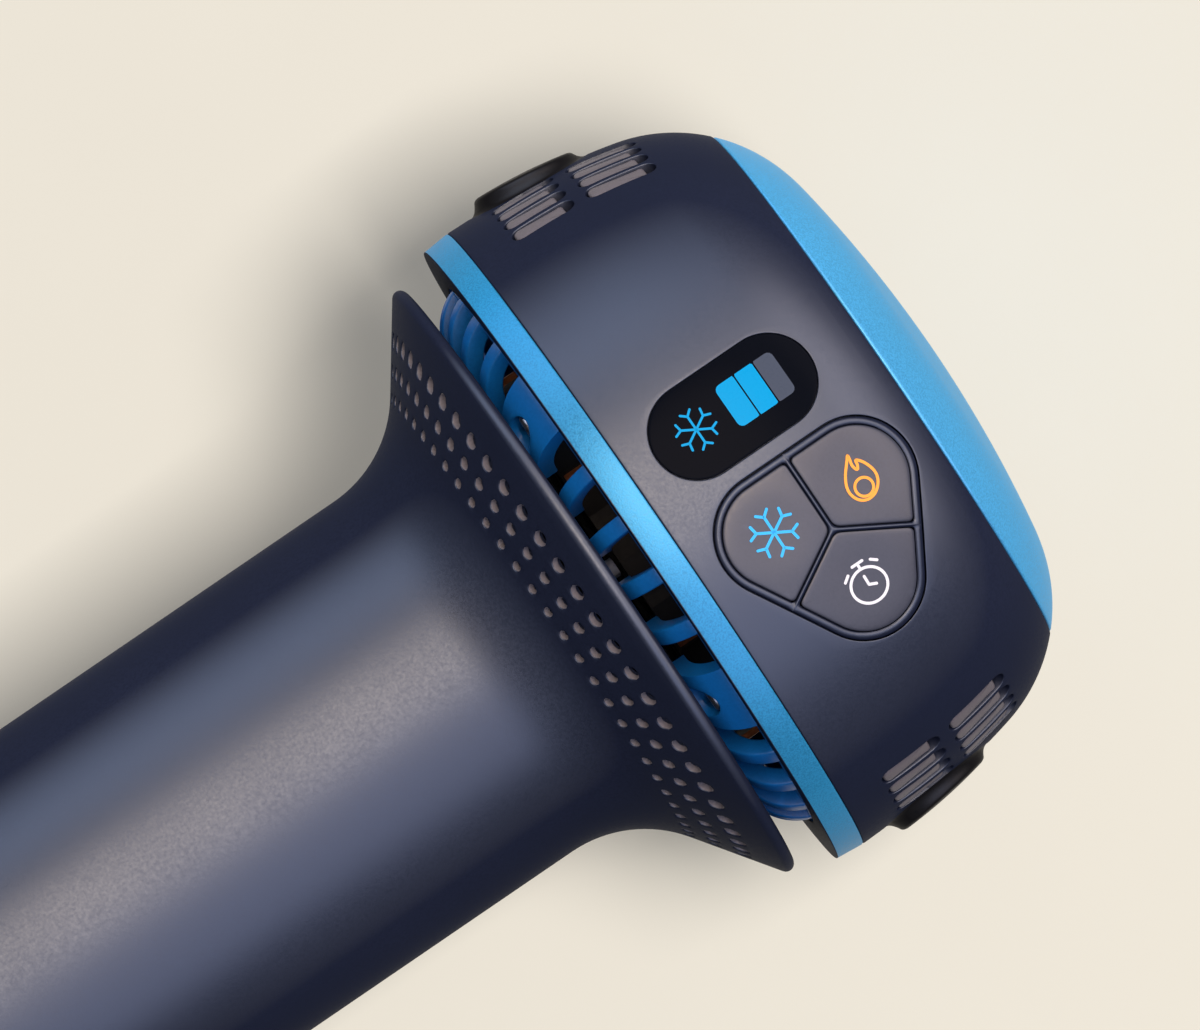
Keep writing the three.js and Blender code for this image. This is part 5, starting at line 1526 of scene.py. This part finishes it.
@dataclass(frozen=True)
class Keypad(OnHead):
    """Rounded triangle with three dished keys, a beaded rim round them and a web between them."""

    centre: Pair = (10.31, 123.9)  # place of its middle on the front, across and in height
    reach: float = 6.4  # distance of the corners' middles from there
    corner: float = 7.15  # radius of the corners
    groove: float = 0.17  # width of the groove round the rim
    rim: float = 0.85  # width of the rim
    web: float = 0.5  # width of the web
    web_corner: float = 1.2  # radius of the corners at the web's middle
    # radius of the corners where the web meets the rim, in the surround and in a key
    side_corners: Pair = (0.35, 0.55)
    # number of faces along the four sides of a key's field
    sides: tuple[int, int, int, int] = (30, 44, 44, 30)
    gap: float = 0.11  # gap round a key
    thickness: float = 1.9  # thickness of a key
    top: tuple[int, float, float] = (12, 0.6, 0.03)  # number, inset and depth of the rows of a key's face
    # share, inset and depth of the rows of a key's edge
    edge: tuple[Triple, ...] = ((1, 0.3, 0.04), (1, 0.12, 0.08), (1, 0.03, 0.15), (1, 0, 0.27))
    dish: Pair = (0.3, 5.4)  # depth and radius of the hollow in a key
    # radius of a stem and of its clip, and the distances of the clip's ends from the stem's
    stem: Quad = (1.0, 1.6, 0.8, 0.2)
    stem_lap: float = 0.2  # how far a stem reaches into its key
    bead: Pair = (0.05, 0.28)  # depth of the crest of the rim and how far its sides fall
    bead_rows: int = 9  # number of rows across the rim and the web
    plate: Pair = (2.75, 3.65)  # depths of the front and back of the plate behind
    plate_lap: float = 0.4  # how far the rim and the web reach into that plate from its front
    flange: float = 1.0  # how far that plate reaches past the outline
    keys: tuple[str, ...] = ("timer", "heat", "cold")  # anticlockwise from the right one

    def outline(self, inset: float) -> Array:
        """Draws the triangle.

        Args:
            inset: How far it is drawn in.

        Returns:
            Its loop.
        """
        radius = self.corner - inset
        apex = self.reach + 2 * radius
        corners = [(apex * cos(a), apex * sin(a), radius) for a in (0, TURN / 3, -TURN / 3)]
        return filleted(corners, closed=True, steps=24) + self.centre

    def kite(self, inset: float, offset: float, tip: float, side: float) -> tuple[Array, Array]:
        """Draws one key's field, which points to +X: a third of the triangle, between two arms of the web.

        Args:
            inset: How far its outer sides lie inside the outline.
            offset: How far its inner sides lie from the middle of the web.
            tip: Radius of the corner at the web's middle.
            side: Radius of the two corners where the web meets the rim.

        Returns:
            The loop, and its four corners before they are rounded, about the middle of the keypad.
        """
        apex = self.reach + 2 * (self.corner - inset)
        inner = offset / sin(pi / 3)
        long = (apex - inner) * cos(pi / 3)
        flank = (inner + long * cos(pi / 3), long * sin(pi / 3))
        far = (apex, 0, self.corner - inset)
        corners = [(inner, 0, tip), (flank[0], -flank[1], side), far, (*flank, side)]
        return filleted(corners, closed=True, steps=24), np.array([corner[:2] for corner in corners])

    def turned(self, loop: Array, number: int) -> Array:
        """Returns a loop about the middle of the keypad, turned to one of the keys, at its place."""
        return loop @ turning(number * TURN / 3) + self.centre

    def spot(self, number: int) -> Array:
        """Returns the middle of a key."""
        return self.turned(np.array([[self.reach, 0.0]]), number)[0]

    def key_face(self, number: int) -> Surface:
        """Dishes the skin for a key.

        Args:
            number: Number of the key.

        Returns:
            Its surface.
        """
        spot = self.spot(number)
        depth, radius = self.dish

        def hollow(across: Array, height: Array) -> Array:
            """Falls with the square of one less the square of the share of the way out."""
            away = np.hypot(across - spot[0], height - spot[1]) / radius
            return depth * np.clip(1 - away**2, 0, None) ** 2

        return self.form.face(hollow=hollow)

    def surround(self) -> None:
        """Makes the rim and the web, as three fields that share the middle lines of the web, and the plate.

        Each field runs from a kite on those lines to a kite at the key's gap. On the rim its depth grows with
        the square of the way from the middle, and on the web with the square of the way from its middle line.
        """
        mesh = PieceMesh()
        face = self.form.face()
        sides = self.sides
        loops = []
        for loop, corners in (
            self.kite(self.groove, 0.0, 0.0, 0.0),
            self.kite(self.groove + self.rim, self.web / 2, self.web_corner, self.side_corners[0]),
        ):
            dense = dense_loop(loop, DENSEST)
            loops.append(matched(dense, nearest(dense, corners), sides))
        crest, fall = self.bead
        low = self.plate[0] - self.plate_lap
        on_rim = np.zeros(sum(sides), bool)
        on_rim[sides[0] : -sides[3]] = True
        share = np.linspace(0, 1, self.bead_rows)
        bead = crest + fall * np.where(on_rim, (2 * share[:, None] - 1) ** 2, share[:, None] ** 2)
        for number in range(len(self.keys)):
            outside, inside = (self.turned(loop, number) for loop in loops)
            flat = outside + (inside - outside) * share[:, None, None]
            top = np.stack([face(*row.T, depth) for row, depth in zip(flat, bead)])
            under = np.stack([face(*row.T, low) for row in flat])
            mesh.grid(top, around=True)
            mesh.grid(under, around=True)
            mesh.grid(np.stack([top[-1], under[-1]]), around=True)
            rim = slice(sides[0], len(on_rim) - sides[3] + 1)
            mesh.grid(np.stack([top[0, rim], under[0, rim]]))
        front, back = self.plate
        rows = [(0, 0, front), (1, 0, front), (1, 0, back), (0, 0, back)]
        cushion(mesh, self.outline(-self.flange), self.centre, face, rows)
        mesh.build("keypad_surround", SOFT_TOUCH, nodes=["keypad_surround"], sharp=55)

    def key(self, number: int) -> None:
        """Makes one key with its stem, which ends where the CAD key does, and the clip that holds it.

        Args:
            number: Number of the key.
        """
        inset, offset = self.groove + self.rim + self.gap, self.web / 2 + self.gap
        loop, _ = self.kite(inset, offset, self.web_corner, self.side_corners[1])
        loop = self.turned(dense_loop(loop, COARSE), number)
        spot = self.spot(number)
        count, drawn_in, depth = self.top
        rows = [(share, drawn_in, depth) for share in np.linspace(0, 1, count)]
        rows += [*self.edge, (1, 0, self.thickness), (0, 0, self.thickness)]
        mesh = PieceMesh()
        cushion(mesh, loop, spot, self.key_face(number), rows)
        front = float(self.form.face()(*spot[:, None], self.thickness - self.stem_lap)[0, 1])
        name = self.keys[number]
        _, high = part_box(f"button_{name}")
        back = high.y / MM
        radius, clip, clip_start, clip_end = self.stem
        start, end, length = back - clip_start - front, back - clip_end - front, back - front
        stem = [(0, 0), (radius, 0), (radius, start), (clip, start), (clip, end), (radius, end)]
        stem += [(radius, length), (0, length)]
        mesh.turned(np.array(stem), 24, (spot[0], front, spot[1]), (0, 1, 0))
        mesh.build(f"button_{name}", KEY_GREY, f"{name}_key", [f"button_{name}"])

    def build(self) -> None:
        """Makes the surround and the keys."""
        self.surround()
        for number in range(len(self.keys)):
            self.key(number)


@dataclass(frozen=True)
class Display(OnHead):
    """Black lens in the housing."""

    centre: Pair = (-7.4, 122.4)  # place of its middle on the front
    size: Pair = (10.95, 20.8)  # width and height
    gap: float = 0.1  # gap round it
    thickness: float = 1.3  # its thickness
    step: float = 0.4  # distance between the points round it
    top: tuple[int, float] = (14, 0.3)  # number and inset of the rows of its face
    # share, inset and depth of the rows of its edge
    edge: tuple[Triple, ...] = ((1, 0.1, 0.01), (1, 0.02, 0.05), (1, 0, 0.12))
    ledge: float = 1.0  # width of the ledge behind its edge

    def outline(self, grow: float) -> Array:
        """Returns the loop of the lens, grown by a distance. Its ends are all but half circles."""
        width, height = self.size[0] + 2 * grow, self.size[1] + 2 * grow
        return rounded_box(width, height, width / 2 - 0.001, self.centre)

    def build(self) -> None:
        """Makes the lens."""
        mesh = PieceMesh()
        count, inset = self.top
        rows = [(share, inset, 0.0) for share in np.linspace(0, 1, count)]
        rows += [*self.edge, (1, 0, self.thickness), (0, 0, self.thickness)]
        loop = dense_loop(self.outline(0), self.step)
        cushion(mesh, loop, self.centre, self.form.face(), rows)
        mesh.build("display_lens", LENS_BLACK, nodes=["display_lens"])


@dataclass(frozen=True)
class Housing(OnHead):
    """Head housing, with the openings for the lens, the keypad, the slots and the side caps."""

    wall: float = 2.4  # thickness
    # angles in degrees of the borders of the lens's and the keypad's windows
    front_sides: tuple[float, ...] = (-21.6, -1.31, 37.5)
    front_ends: Pair = (110.0, 137.6)  # heights of the lower and upper end of those windows
    # angles in degrees from a side, between which the windows of the slots lie
    vent_sides: tuple[float, ...] = (10.86, 14.94, 19.84, 24.74, 29.64)
    vent_ends: tuple[float, ...] = (112.6, 122.25, 132.4)  # heights between the windows of the rows of slots
    cap_ends: Pair = (110.6, 127.5)  # heights of the lower and upper end of a cap's window
    inner: Pair = (0.6, 0.35)  # how far inside the lower edge and the seam the inner side starts and ends
    spacing: Pair = (1.3, 0.9)  # angle in degrees and run in millimetres between the lines of the grid
    # outset and depth of the rows that round off an opening's edge
    lip: Pairs = ((0.14, 0), (0.06, 0.02), (0.02, 0.06), (0, 0.15))
    cap_lip: Pairs = ((0.06, 0), (0.02, 0.02), (0, 0.08))  # the same for the pocket of a cap
    near_lip: Pairs = ((0.05, 0), (0.015, 0.02), (0, 0.07))  # the same for the slots beside a cap

    def build(self, display: Display, keypad: Keypad, vents: Vents, caps: SideCaps) -> None:
        """Makes the housing.

        Args:
            display: The lens.
            keypad: The keypad.
            vents: The slots.
            caps: The side caps.
        """
        form = self.form
        outline = form.housing()

        def runs(heights: Sequence[float]) -> tuple[float, ...]:
            """Returns the runs at which the skin reaches given heights."""
            return tuple(float(run) for run in form.run_at(outline, np.array(heights)))

        low, high = runs((form.bottom + self.inner[0], form.seam - self.inner[1]))
        front, cap = runs(self.front_ends), runs(self.cap_ends)
        rows = runs(self.vent_ends)
        sides = [radians(side) for side in self.front_sides]
        steps = [radians(side) for side in self.vent_sides]
        through = (0, self.wall)
        seat = display.thickness + display.gap
        inset = -display.ledge - display.gap
        ledge = (*self.lip, (0, seat), (inset, seat), (inset, self.wall))
        openings = [
            Opening(0.0, (sides[0], sides[1]), front, display.outline(display.gap), ledge, rings=6),
            Opening(0.0, (sides[1], sides[2]), front, keypad.outline(0), (*self.lip, through), rings=6),
        ]
        lines = [-pi, pi, *sides]
        for side in (pi / 2, -pi / 2):
            pocket = circle(caps.pocket, (0, caps.height - caps.pocket_depth * tan(caps.tilt)))
            rims = (*self.cap_lip, through)
            openings.append(Opening(side, (side - steps[0], side + steps[0]), cap, pocket, rims, rings=4))
            for column in range(vents.columns):
                for way in (-1, 1):
                    angle = side + way * (vents.first + column * vents.pitch)
                    window = sorted((side + way * steps[column], side + way * steps[column + 1]))
                    rims = (*(self.lip if column else self.near_lip), through)
                    openings += [
                        Opening(angle, tuple(window), (rows[i], rows[i + 1]), vents.slot(row), rims)
                        for i, row in enumerate(vents.rows)
                    ]
            lines += [side + way * step for step in steps for way in (-1, 1)]
        shell = Shell(
            outline,
            filled(lines, radians(self.spacing[0])),
            outline.rows([low, high, *front, *cap, *rows], self.spacing[1]),
            (low, high),
            ((0.0, 1.0), (self.wall, self.wall)),
        )
        mesh = PieceMesh()
        shell.build(mesh, openings)
        mesh.build("head_housing", SOFT_TOUCH, nodes=["head_housing"])

        plate = PieceMesh()
        plate.turned(form.crown(), 192)
        plate.build("contact_plate", ANODISED, nodes=["contact_plate"])


@dataclass(frozen=True)
class Signs:
    """Signs on the display and on the keys, as lines and plates of even thickness."""

    # place and reach of the snowflake on the display, and the width of its lines
    display_star: Quad = (-7.58, 117.52, 1.746, 0.27)
    # middle, size and corner radius of the level bar
    level: tuple[float, float, float, float, float] = (-7.6, 125.57, 5.42, 7.68, 0.7)
    level_cuts: tuple[float, ...] = (124.4, 126.98)  # heights of the gaps in the level bar
    level_gap: Pair = (0.18, 0.1)  # width of those gaps and radius of the corners at them
    proud: Pair = (0.025, 0.1)  # how far a part of the level bar stands out, and how far it goes in
    # points of the V at the end of a snowflake's arm, in shares of its reach
    fork: Pairs = ((1.31, 0.37), (1.0, 0.0), (1.31, -0.37))
    # place, reach and line width of the snowflake on the cold key
    key_star: Quad = (6.87, 118.23, 2.03, 0.33)
    line: float = 0.33  # width of the lines on the keys
    flat: Pair = (0.022, 0.028)  # how far lines stand out that touch others, so that no faces coincide
    # points round the flame, about the middle of the heat key
    flame: Pairs = (
        (-1.79, 1.01), (-1.25, 1.53), (-0.4, 1.93), (0.45, 2.1), (1.3, 1.93), (2.07, 1.36), (2.57, 0.51),
        (2.57, -0.47), (2.01, -1.26), (1.02, -1.65), (0.02, -1.5), (-0.97, -0.97), (-1.75, -0.34),
        (-2.38, 0.21), (-2.75, 0.51), (-2.25, 0.47), (-1.53, 0.32), (-0.97, 0.44), (-0.85, 0.63),
        (-1.25, 0.86),
    )
    flame_ring: Triple = (1.22, 0.127, 1.066)  # middle and radius of the ring inside the flame
    clock: Quad = (17.76, 123.93, 2.0, 2.15)  # middle and half sizes of the ring of the stopwatch
    # its other lines, about the same middle
    clock_lines: tuple[Pairs, ...] = (
        ((-2.74, -0.56), (-2.74, 0.79)),
        ((-2.74, 0.12), (-2.0, 0.12)),
        ((-2.34, 1.66), (-1.86, 2.27)),
        ((-2.19, -1.48), (-1.69, -2.16)),
        ((-1.13, 0.03), (-0.07, 0.0), (0.29, 0.79)),
    )

    def star(self, mesh: PieceMesh, place: Quad, surface: Surface) -> None:
        """Adds a snowflake: three lines through the middle, and a V at each of their ends.

        Args:
            mesh: Mesh that it is added to.
            place: Its middle, its reach and the width of its lines.
            surface: Surface that it lies on.
        """
        x, z, reach, width = place
        fork = reach * np.array(self.fork)
        for number in range(6):
            turn = turning(number * TURN / 6)
            stroke(mesh, fork @ turn + (x, z), width, surface)
            if number < 3:
                line = reach * np.array([[-1.0, 0.0], [0.0, 0.0], [1.0, 0.0]])
                stroke(mesh, line @ turn + (x, z), width, surface, proud=self.flat[0])

    def tile(self, low: float, high: float, corners: Pair, surface: Surface) -> PieceMesh:
        """Makes the mesh of one part of the level bar, from a lower to an upper height.

        Args:
            low: Lower height.
            high: Upper height.
            corners: Radii of the lower and of the upper corners.
            surface: Surface that it lies on.

        Returns:
            Its mesh.
        """
        x, _, width, _, _ = self.level
        half = width / 2
        left, right = x - half, x + half
        below, above = corners
        shape = [(left, low, below), (right, low, below), (right, high, above), (left, high, above)]
        loop = dense_loop(filleted(shape, closed=True, steps=12), COARSE)
        mesh = PieceMesh()
        proud, sunk = self.proud
        rows = [(share, 0.0, -proud) for share in np.linspace(0, 1, 6)] + [(1, 0, sunk), (0, 0, sunk)]
        cushion(mesh, loop, (x, (low + high) / 2), surface, rows)
        return mesh

    def build(self, keypad: Keypad) -> None:
        """Makes the signs, each riding on the piece it lies on.

        Args:
            keypad: The keypad.
        """
        face = keypad.form.face()
        _, z, _, height, corner = self.level
        cuts = self.level_cuts
        gap, small = self.level_gap[0] / 2, self.level_gap[1]
        lit = PieceMesh()
        self.star(lit, self.display_star, face)
        lit.build("display_star", LIT_CYAN)
        for name, ink, low, high, corners in (
            ("level_low", LIT_CYAN, z - height / 2, cuts[0] - gap, (corner, small)),
            ("level_middle", LIT_CYAN, cuts[0] + gap, cuts[1] - gap, (small, small)),
            ("level_high", LIT_GREY, cuts[1] + gap, z + height / 2, (small, corner)),
        ):
            self.tile(low, high, corners, face).build(name, ink)

        cold = PieceMesh()
        self.star(cold, self.key_star, keypad.key_face(2))
        cold.build("cold_sign", INK_BLUE, "cold_key")

        heat = PieceMesh()
        spot = keypad.spot(1)
        surface = keypad.key_face(1)
        stroke(heat, smooth_loop(np.array(self.flame)) + spot, self.line, surface, closed=True)
        x, y, radius = self.flame_ring
        stroke(heat, circle(radius, (x, y)) + spot, self.line, surface, closed=True, proud=self.flat[0])
        heat.build("heat_sign", INK_ORANGE, "heat_key")

        watch = PieceMesh()
        surface = keypad.key_face(0)
        x, z, wide, tall = self.clock
        stroke(watch, circle(1.0) * (wide, tall) + (x, z), self.line, surface, closed=True)
        for path in self.clock_lines:
            stroke(watch, np.array(path) + (x, z), self.line, surface, proud=self.flat[1])
        watch.build("timer_sign", INK_WHITE, "timer_key")


# The set


class Reach(Enum):
    """What a lamp lights: the parts of the set that its light linking names, and their state in it."""

    DEVICE = (("floor", "backdrop"), "EXCLUDE")
    FLOOR = (("floor",), "INCLUDE")
    BACKDROP = (("backdrop",), "INCLUDE")


@dataclass(frozen=True)
class Lamp:
    """Soft rectangular lamp that faces a point of the device."""

    name: str  # its name
    azimuth: float  # direction it comes from, in degrees from the front towards +X
    elevation: float  # height of that direction above the horizon, in degrees
    size: Pair  # width and height in millimetres
    power: float  # watts
    colour: Triple = (1.0, 1.0, 1.0)  # screen colour
    distance: float = 600.0  # distance from the aim in millimetres
    aim: Triple = (0.0, 0.0, 90.0)  # point that it faces
    reach: Reach = Reach.DEVICE  # what it lights

    def build(self, parts: dict[str, bpy.types.Collection]) -> None:
        """Makes the lamp, which the camera itself doesn't see.

        Args:
            parts: Collection of each part of the set.
        """
        data = bpy.data.lights.new(self.name, "AREA")
        data.shape = "RECTANGLE"
        data.size, data.size_y = self.size[0] * MM, self.size[1] * MM
        data.energy = self.power
        data.color = linear(self.colour)[:3]
        lamp = bpy.data.objects.new(self.name, data)
        bpy.context.scene.collection.objects.link(lamp)
        turn, rise = radians(self.azimuth), radians(self.elevation)
        way = Vector((sin(turn) * cos(rise), -cos(turn) * cos(rise), sin(rise)))
        lamp.location = (Vector(self.aim) + way * self.distance) * MM
        lamp.rotation_mode = "QUATERNION"
        lamp.rotation_quaternion = way.to_track_quat("Z", "Y")
        lamp.visible_camera = False
        names, state = self.reach.value
        lit = bpy.data.collections.new(f"{self.name}_reach")
        for name in names:
            lit.children.link(parts[name])
        for child in lit.collection_children:
            child.light_linking.link_state = state
        lamp.light_linking.receiver_collection = lit


@dataclass(frozen=True)
class Viewpoint:
    """Camera at the photograph's angle: a long lens that is level with the head and leans to the right."""

    lens: float = 900.0  # focal length in millimetres
    sensor: float = 36.0  # width of the sensor in millimetres
    span: float = 136.05  # width of what it sees at the device
    aim: Triple = (-5.75, 0.0, 104.77)  # point in the middle of the picture
    lean: float = 34.3  # angle by which the device's upright axis leans from the picture's right, in degrees
    rise: float = 2.2  # how far the camera looks up, in degrees

    def build(self) -> None:
        """Makes the camera, whose matrix is built from the picture's right, its up and its back."""
        data = bpy.data.cameras.new("camera")
        data.lens, data.sensor_width = self.lens, self.sensor
        data.clip_start, data.clip_end = 0.05, 20.0
        camera = bpy.data.objects.new("camera", data)
        bpy.context.scene.collection.objects.link(camera)
        rise, lean = radians(self.rise), radians(self.lean)
        way = Vector((0, cos(rise), sin(rise)))
        height = Vector((0, -sin(rise), cos(rise)))
        across = Vector((1, 0, 0))
        right = cos(lean) * height + sin(lean) * across
        upward = sin(lean) * height - cos(lean) * across
        place = Vector(self.aim) * MM - way * (self.lens / self.sensor * self.span * MM)
        camera.matrix_world = Matrix.Translation(place) @ Matrix((right, upward, -way)).transposed().to_4x4()
        bpy.context.scene.camera = camera


@dataclass(frozen=True)
class Studio:
    """Pale floor and backdrop, lamps, and the light from all round."""

    tone: Triple = (0.941, 0.914, 0.863)  # screen colour of the floor, the backdrop and the background
    floor: Triple = (900.0, -900.0, 900.0)  # half width, front edge and back edge of the floor
    wall: Triple = (350.0, 47.0, 450.0)  # half width, distance behind the axis, and height of the backdrop
    glow: float = 0.26  # share of the backdrop's light that is its own
    grain: float = 60.0  # number of the paper's fine spots in a metre
    shade: float = 0.985  # share of the light that the darkest of them give back
    relief: float = 0.05  # height of those spots in millimetres
    specular: float = 0.1  # level of the paper's reflection
    ambient: Triple = (0.38, 0.4, 0.43)  # screen colour of the light from all round
    lamps: tuple[Lamp, ...] = ()  # the lamps

    def material(self, name: str, glow: float) -> bpy.types.Material:
        """Returns a pale material that is seen from its front only, and shines with a share of its light.

        Args:
            name: Name of the material.
            glow: That share.

        Returns:
            The material.
        """
        made = bpy.data.materials.new(name)
        made.use_nodes = True
        tree = NodeTree(made.node_tree)
        spot = tree.add("TexCoord").outputs["Object"]
        noise = tree.add("TexNoise", Vector=spot, Scale=self.grain, Detail=5.0).outputs["Fac"]
        darker = (*(value * self.shade for value in linear(self.tone)[:3]), 1.0)
        shade = tree.mixed(noise, linear(self.tone), darker)
        bump = tree.add("Bump", Height=noise, Distance=self.relief * MM, Strength=0.3).outputs[0]
        matt = tree.add(
            "BsdfPrincipled",
            Base_Color=shade,
            Roughness=tree.ranged(noise, low=0.75, high=0.9),
            Specular_IOR_Level=self.specular,
            Normal=bump,
        )
        shine = tree.add("Emission", Color=shade, Strength=1.0)
        both = tree.add("MixShader", i0=glow, i1=matt.outputs[0], i2=shine.outputs[0])
        clear = tree.add("BsdfTransparent")
        behind = tree.add("NewGeometry").outputs["Backfacing"]
        front = tree.add("MixShader", i0=behind, i1=both.outputs[0], i2=clear.outputs[0])
        tree.add("OutputMaterial", Surface=front.outputs[0])
        return made

    def sheet(
        self, name: str, corners: Sequence[Sequence[float]], glow: float, bounce: bool
    ) -> bpy.types.Collection:
        """Makes a flat part of the set, which casts no shadow.

        Args:
            name: Name of the part.
            corners: Its four corners, anticlockwise as they are seen from its front.
            glow: Share of its light that is its own.
            bounce: Whether its light falls on other things.

        Returns:
            A collection with the part alone.
        """
        mesh = bpy.data.meshes.new(name)
        mesh.from_pydata((np.array(corners) * MM).tolist(), [], [(0, 1, 2, 3)])
        part = bpy.data.objects.new(name, mesh)
        part.visible_shadow = False
        part.visible_diffuse = part.visible_glossy = bounce
        alone = bpy.data.collections.new(name)
        bpy.context.scene.collection.children.link(alone)
        alone.objects.link(part)
        part.data.materials.append(self.material(name, glow))
        part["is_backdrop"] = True
        return alone

    def build(self) -> None:
        """Makes the floor, the backdrop, the lamps and the light from all round."""
        side, near, far = self.floor
        ground = [(-side, near, 0), (side, near, 0), (side, far, 0), (-side, far, 0)]
        side, back, top = self.wall
        wall = [(-side, back, 0), (side, back, 0), (side, back, top), (-side, back, top)]
        parts = {
            "floor": self.sheet("floor", ground, 0.0, False),
            "backdrop": self.sheet("backdrop", wall, self.glow, True),
        }
        for lamp in self.lamps:
            lamp.build(parts)
        self.surround()

    def surround(self) -> None:
        """Sets the world: a dim light from all round."""
        world = bpy.data.worlds.new("surround")
        bpy.context.scene.world = world
        world.use_nodes = True
        tree = NodeTree(world.node_tree)
        background = tree.add("Background", Color=linear(self.ambient), Strength=1.0)
        tree.add("OutputWorld", Surface=background.outputs[0])


LAMPS = (
    Lamp("key", -12, 4, (640, 620), 9.4, (1.0, 0.9, 0.82), distance=900.0),
    Lamp("right", 32, 2, (700, 600), 2.6, (0.85, 0.86, 0.98)),
    Lamp("left", -84, 2, (800, 600), 3.7, (0.84, 0.88, 0.98)),
    Lamp("top", 0, 58, (1000, 420), 4.4, (1.0, 0.93, 0.92)),
    Lamp("overhead", -40, 72, (900, 900), 20.0, (1.0, 0.99, 0.97), distance=1500.0, reach=Reach.FLOOR),
    Lamp("shade", 7, 9, (450, 450), 21.6, (1.0, 0.99, 0.97), distance=1500.0, reach=Reach.BACKDROP),
)


def plain_view() -> None:
    """Sets the plain view transform."""
    bpy.context.scene.view_settings.view_transform = "Standard"


@dataclass(frozen=True)
class InnerParts:
    """CAD nodes that are shown as they are, dressed by what they are made of."""

    bevel: float = 0.12  # width of the bevel on their edges in millimetres
    # the finish of each kind of node, by the start of its name
    finishes: dict[str, Finish] = field(
        default_factory=lambda: {
            "battery_cell": CELL_WRAP,
            "battery_cage": DARK_PLASTIC,
            "charge_board": CIRCUIT_BOARD,
            "charge_port_shell": STEEL,
            "charge_port_insert": DARK_PLASTIC,
            "neck_frame": DARK_PLASTIC,
            "neck_screw": STEEL,
            "main_board": CIRCUIT_BOARD,
            "display_module": DARK_PLASTIC,
            "switch": DARK_PLASTIC,
            "thermoelectric_module": CERAMIC,
            "plate_insulator": FOAM,
            "temperature_sensor": STEEL,
            "heat_sink_screw": STEEL,
            "heat_sink": COPPER,
            "fan_frame": DARK_PLASTIC,
            "fan_stator": COPPER,
            "fan_rotor": DARK_PLASTIC,
        }
    )

    def build(self) -> None:
        """Dresses the nodes."""
        for name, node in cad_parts.items():
            kind = next((kind for kind in self.finishes if name.startswith(kind)), None)
            if kind:
                self.finishes[kind].dress(node)
                soften(node, self.bevel)
                log.info("%s: carried over", name)


def main() -> None:
    """Builds the device and the set, logs each piece of the device as it is made, and works out the sizes
    without keeping them.
    """
    InnerParts().build()
    display, keypad, vents, caps = Display(), Keypad(), Vents(), SideCaps()
    Handle().build()
    Base().build()
    VaneBowl().build()
    TrimRing().build()
    Housing().build(display, keypad, vents, caps)
    vents.build()
    caps.build()
    display.build()
    keypad.build()
    Signs().build(keypad)
    Studio(lamps=LAMPS).build()
    Viewpoint().build()
    plain_view()
    [[list(corner) for corner in box] for box in (cad_bounds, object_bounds())]


if __name__ == "__main__":
    main()
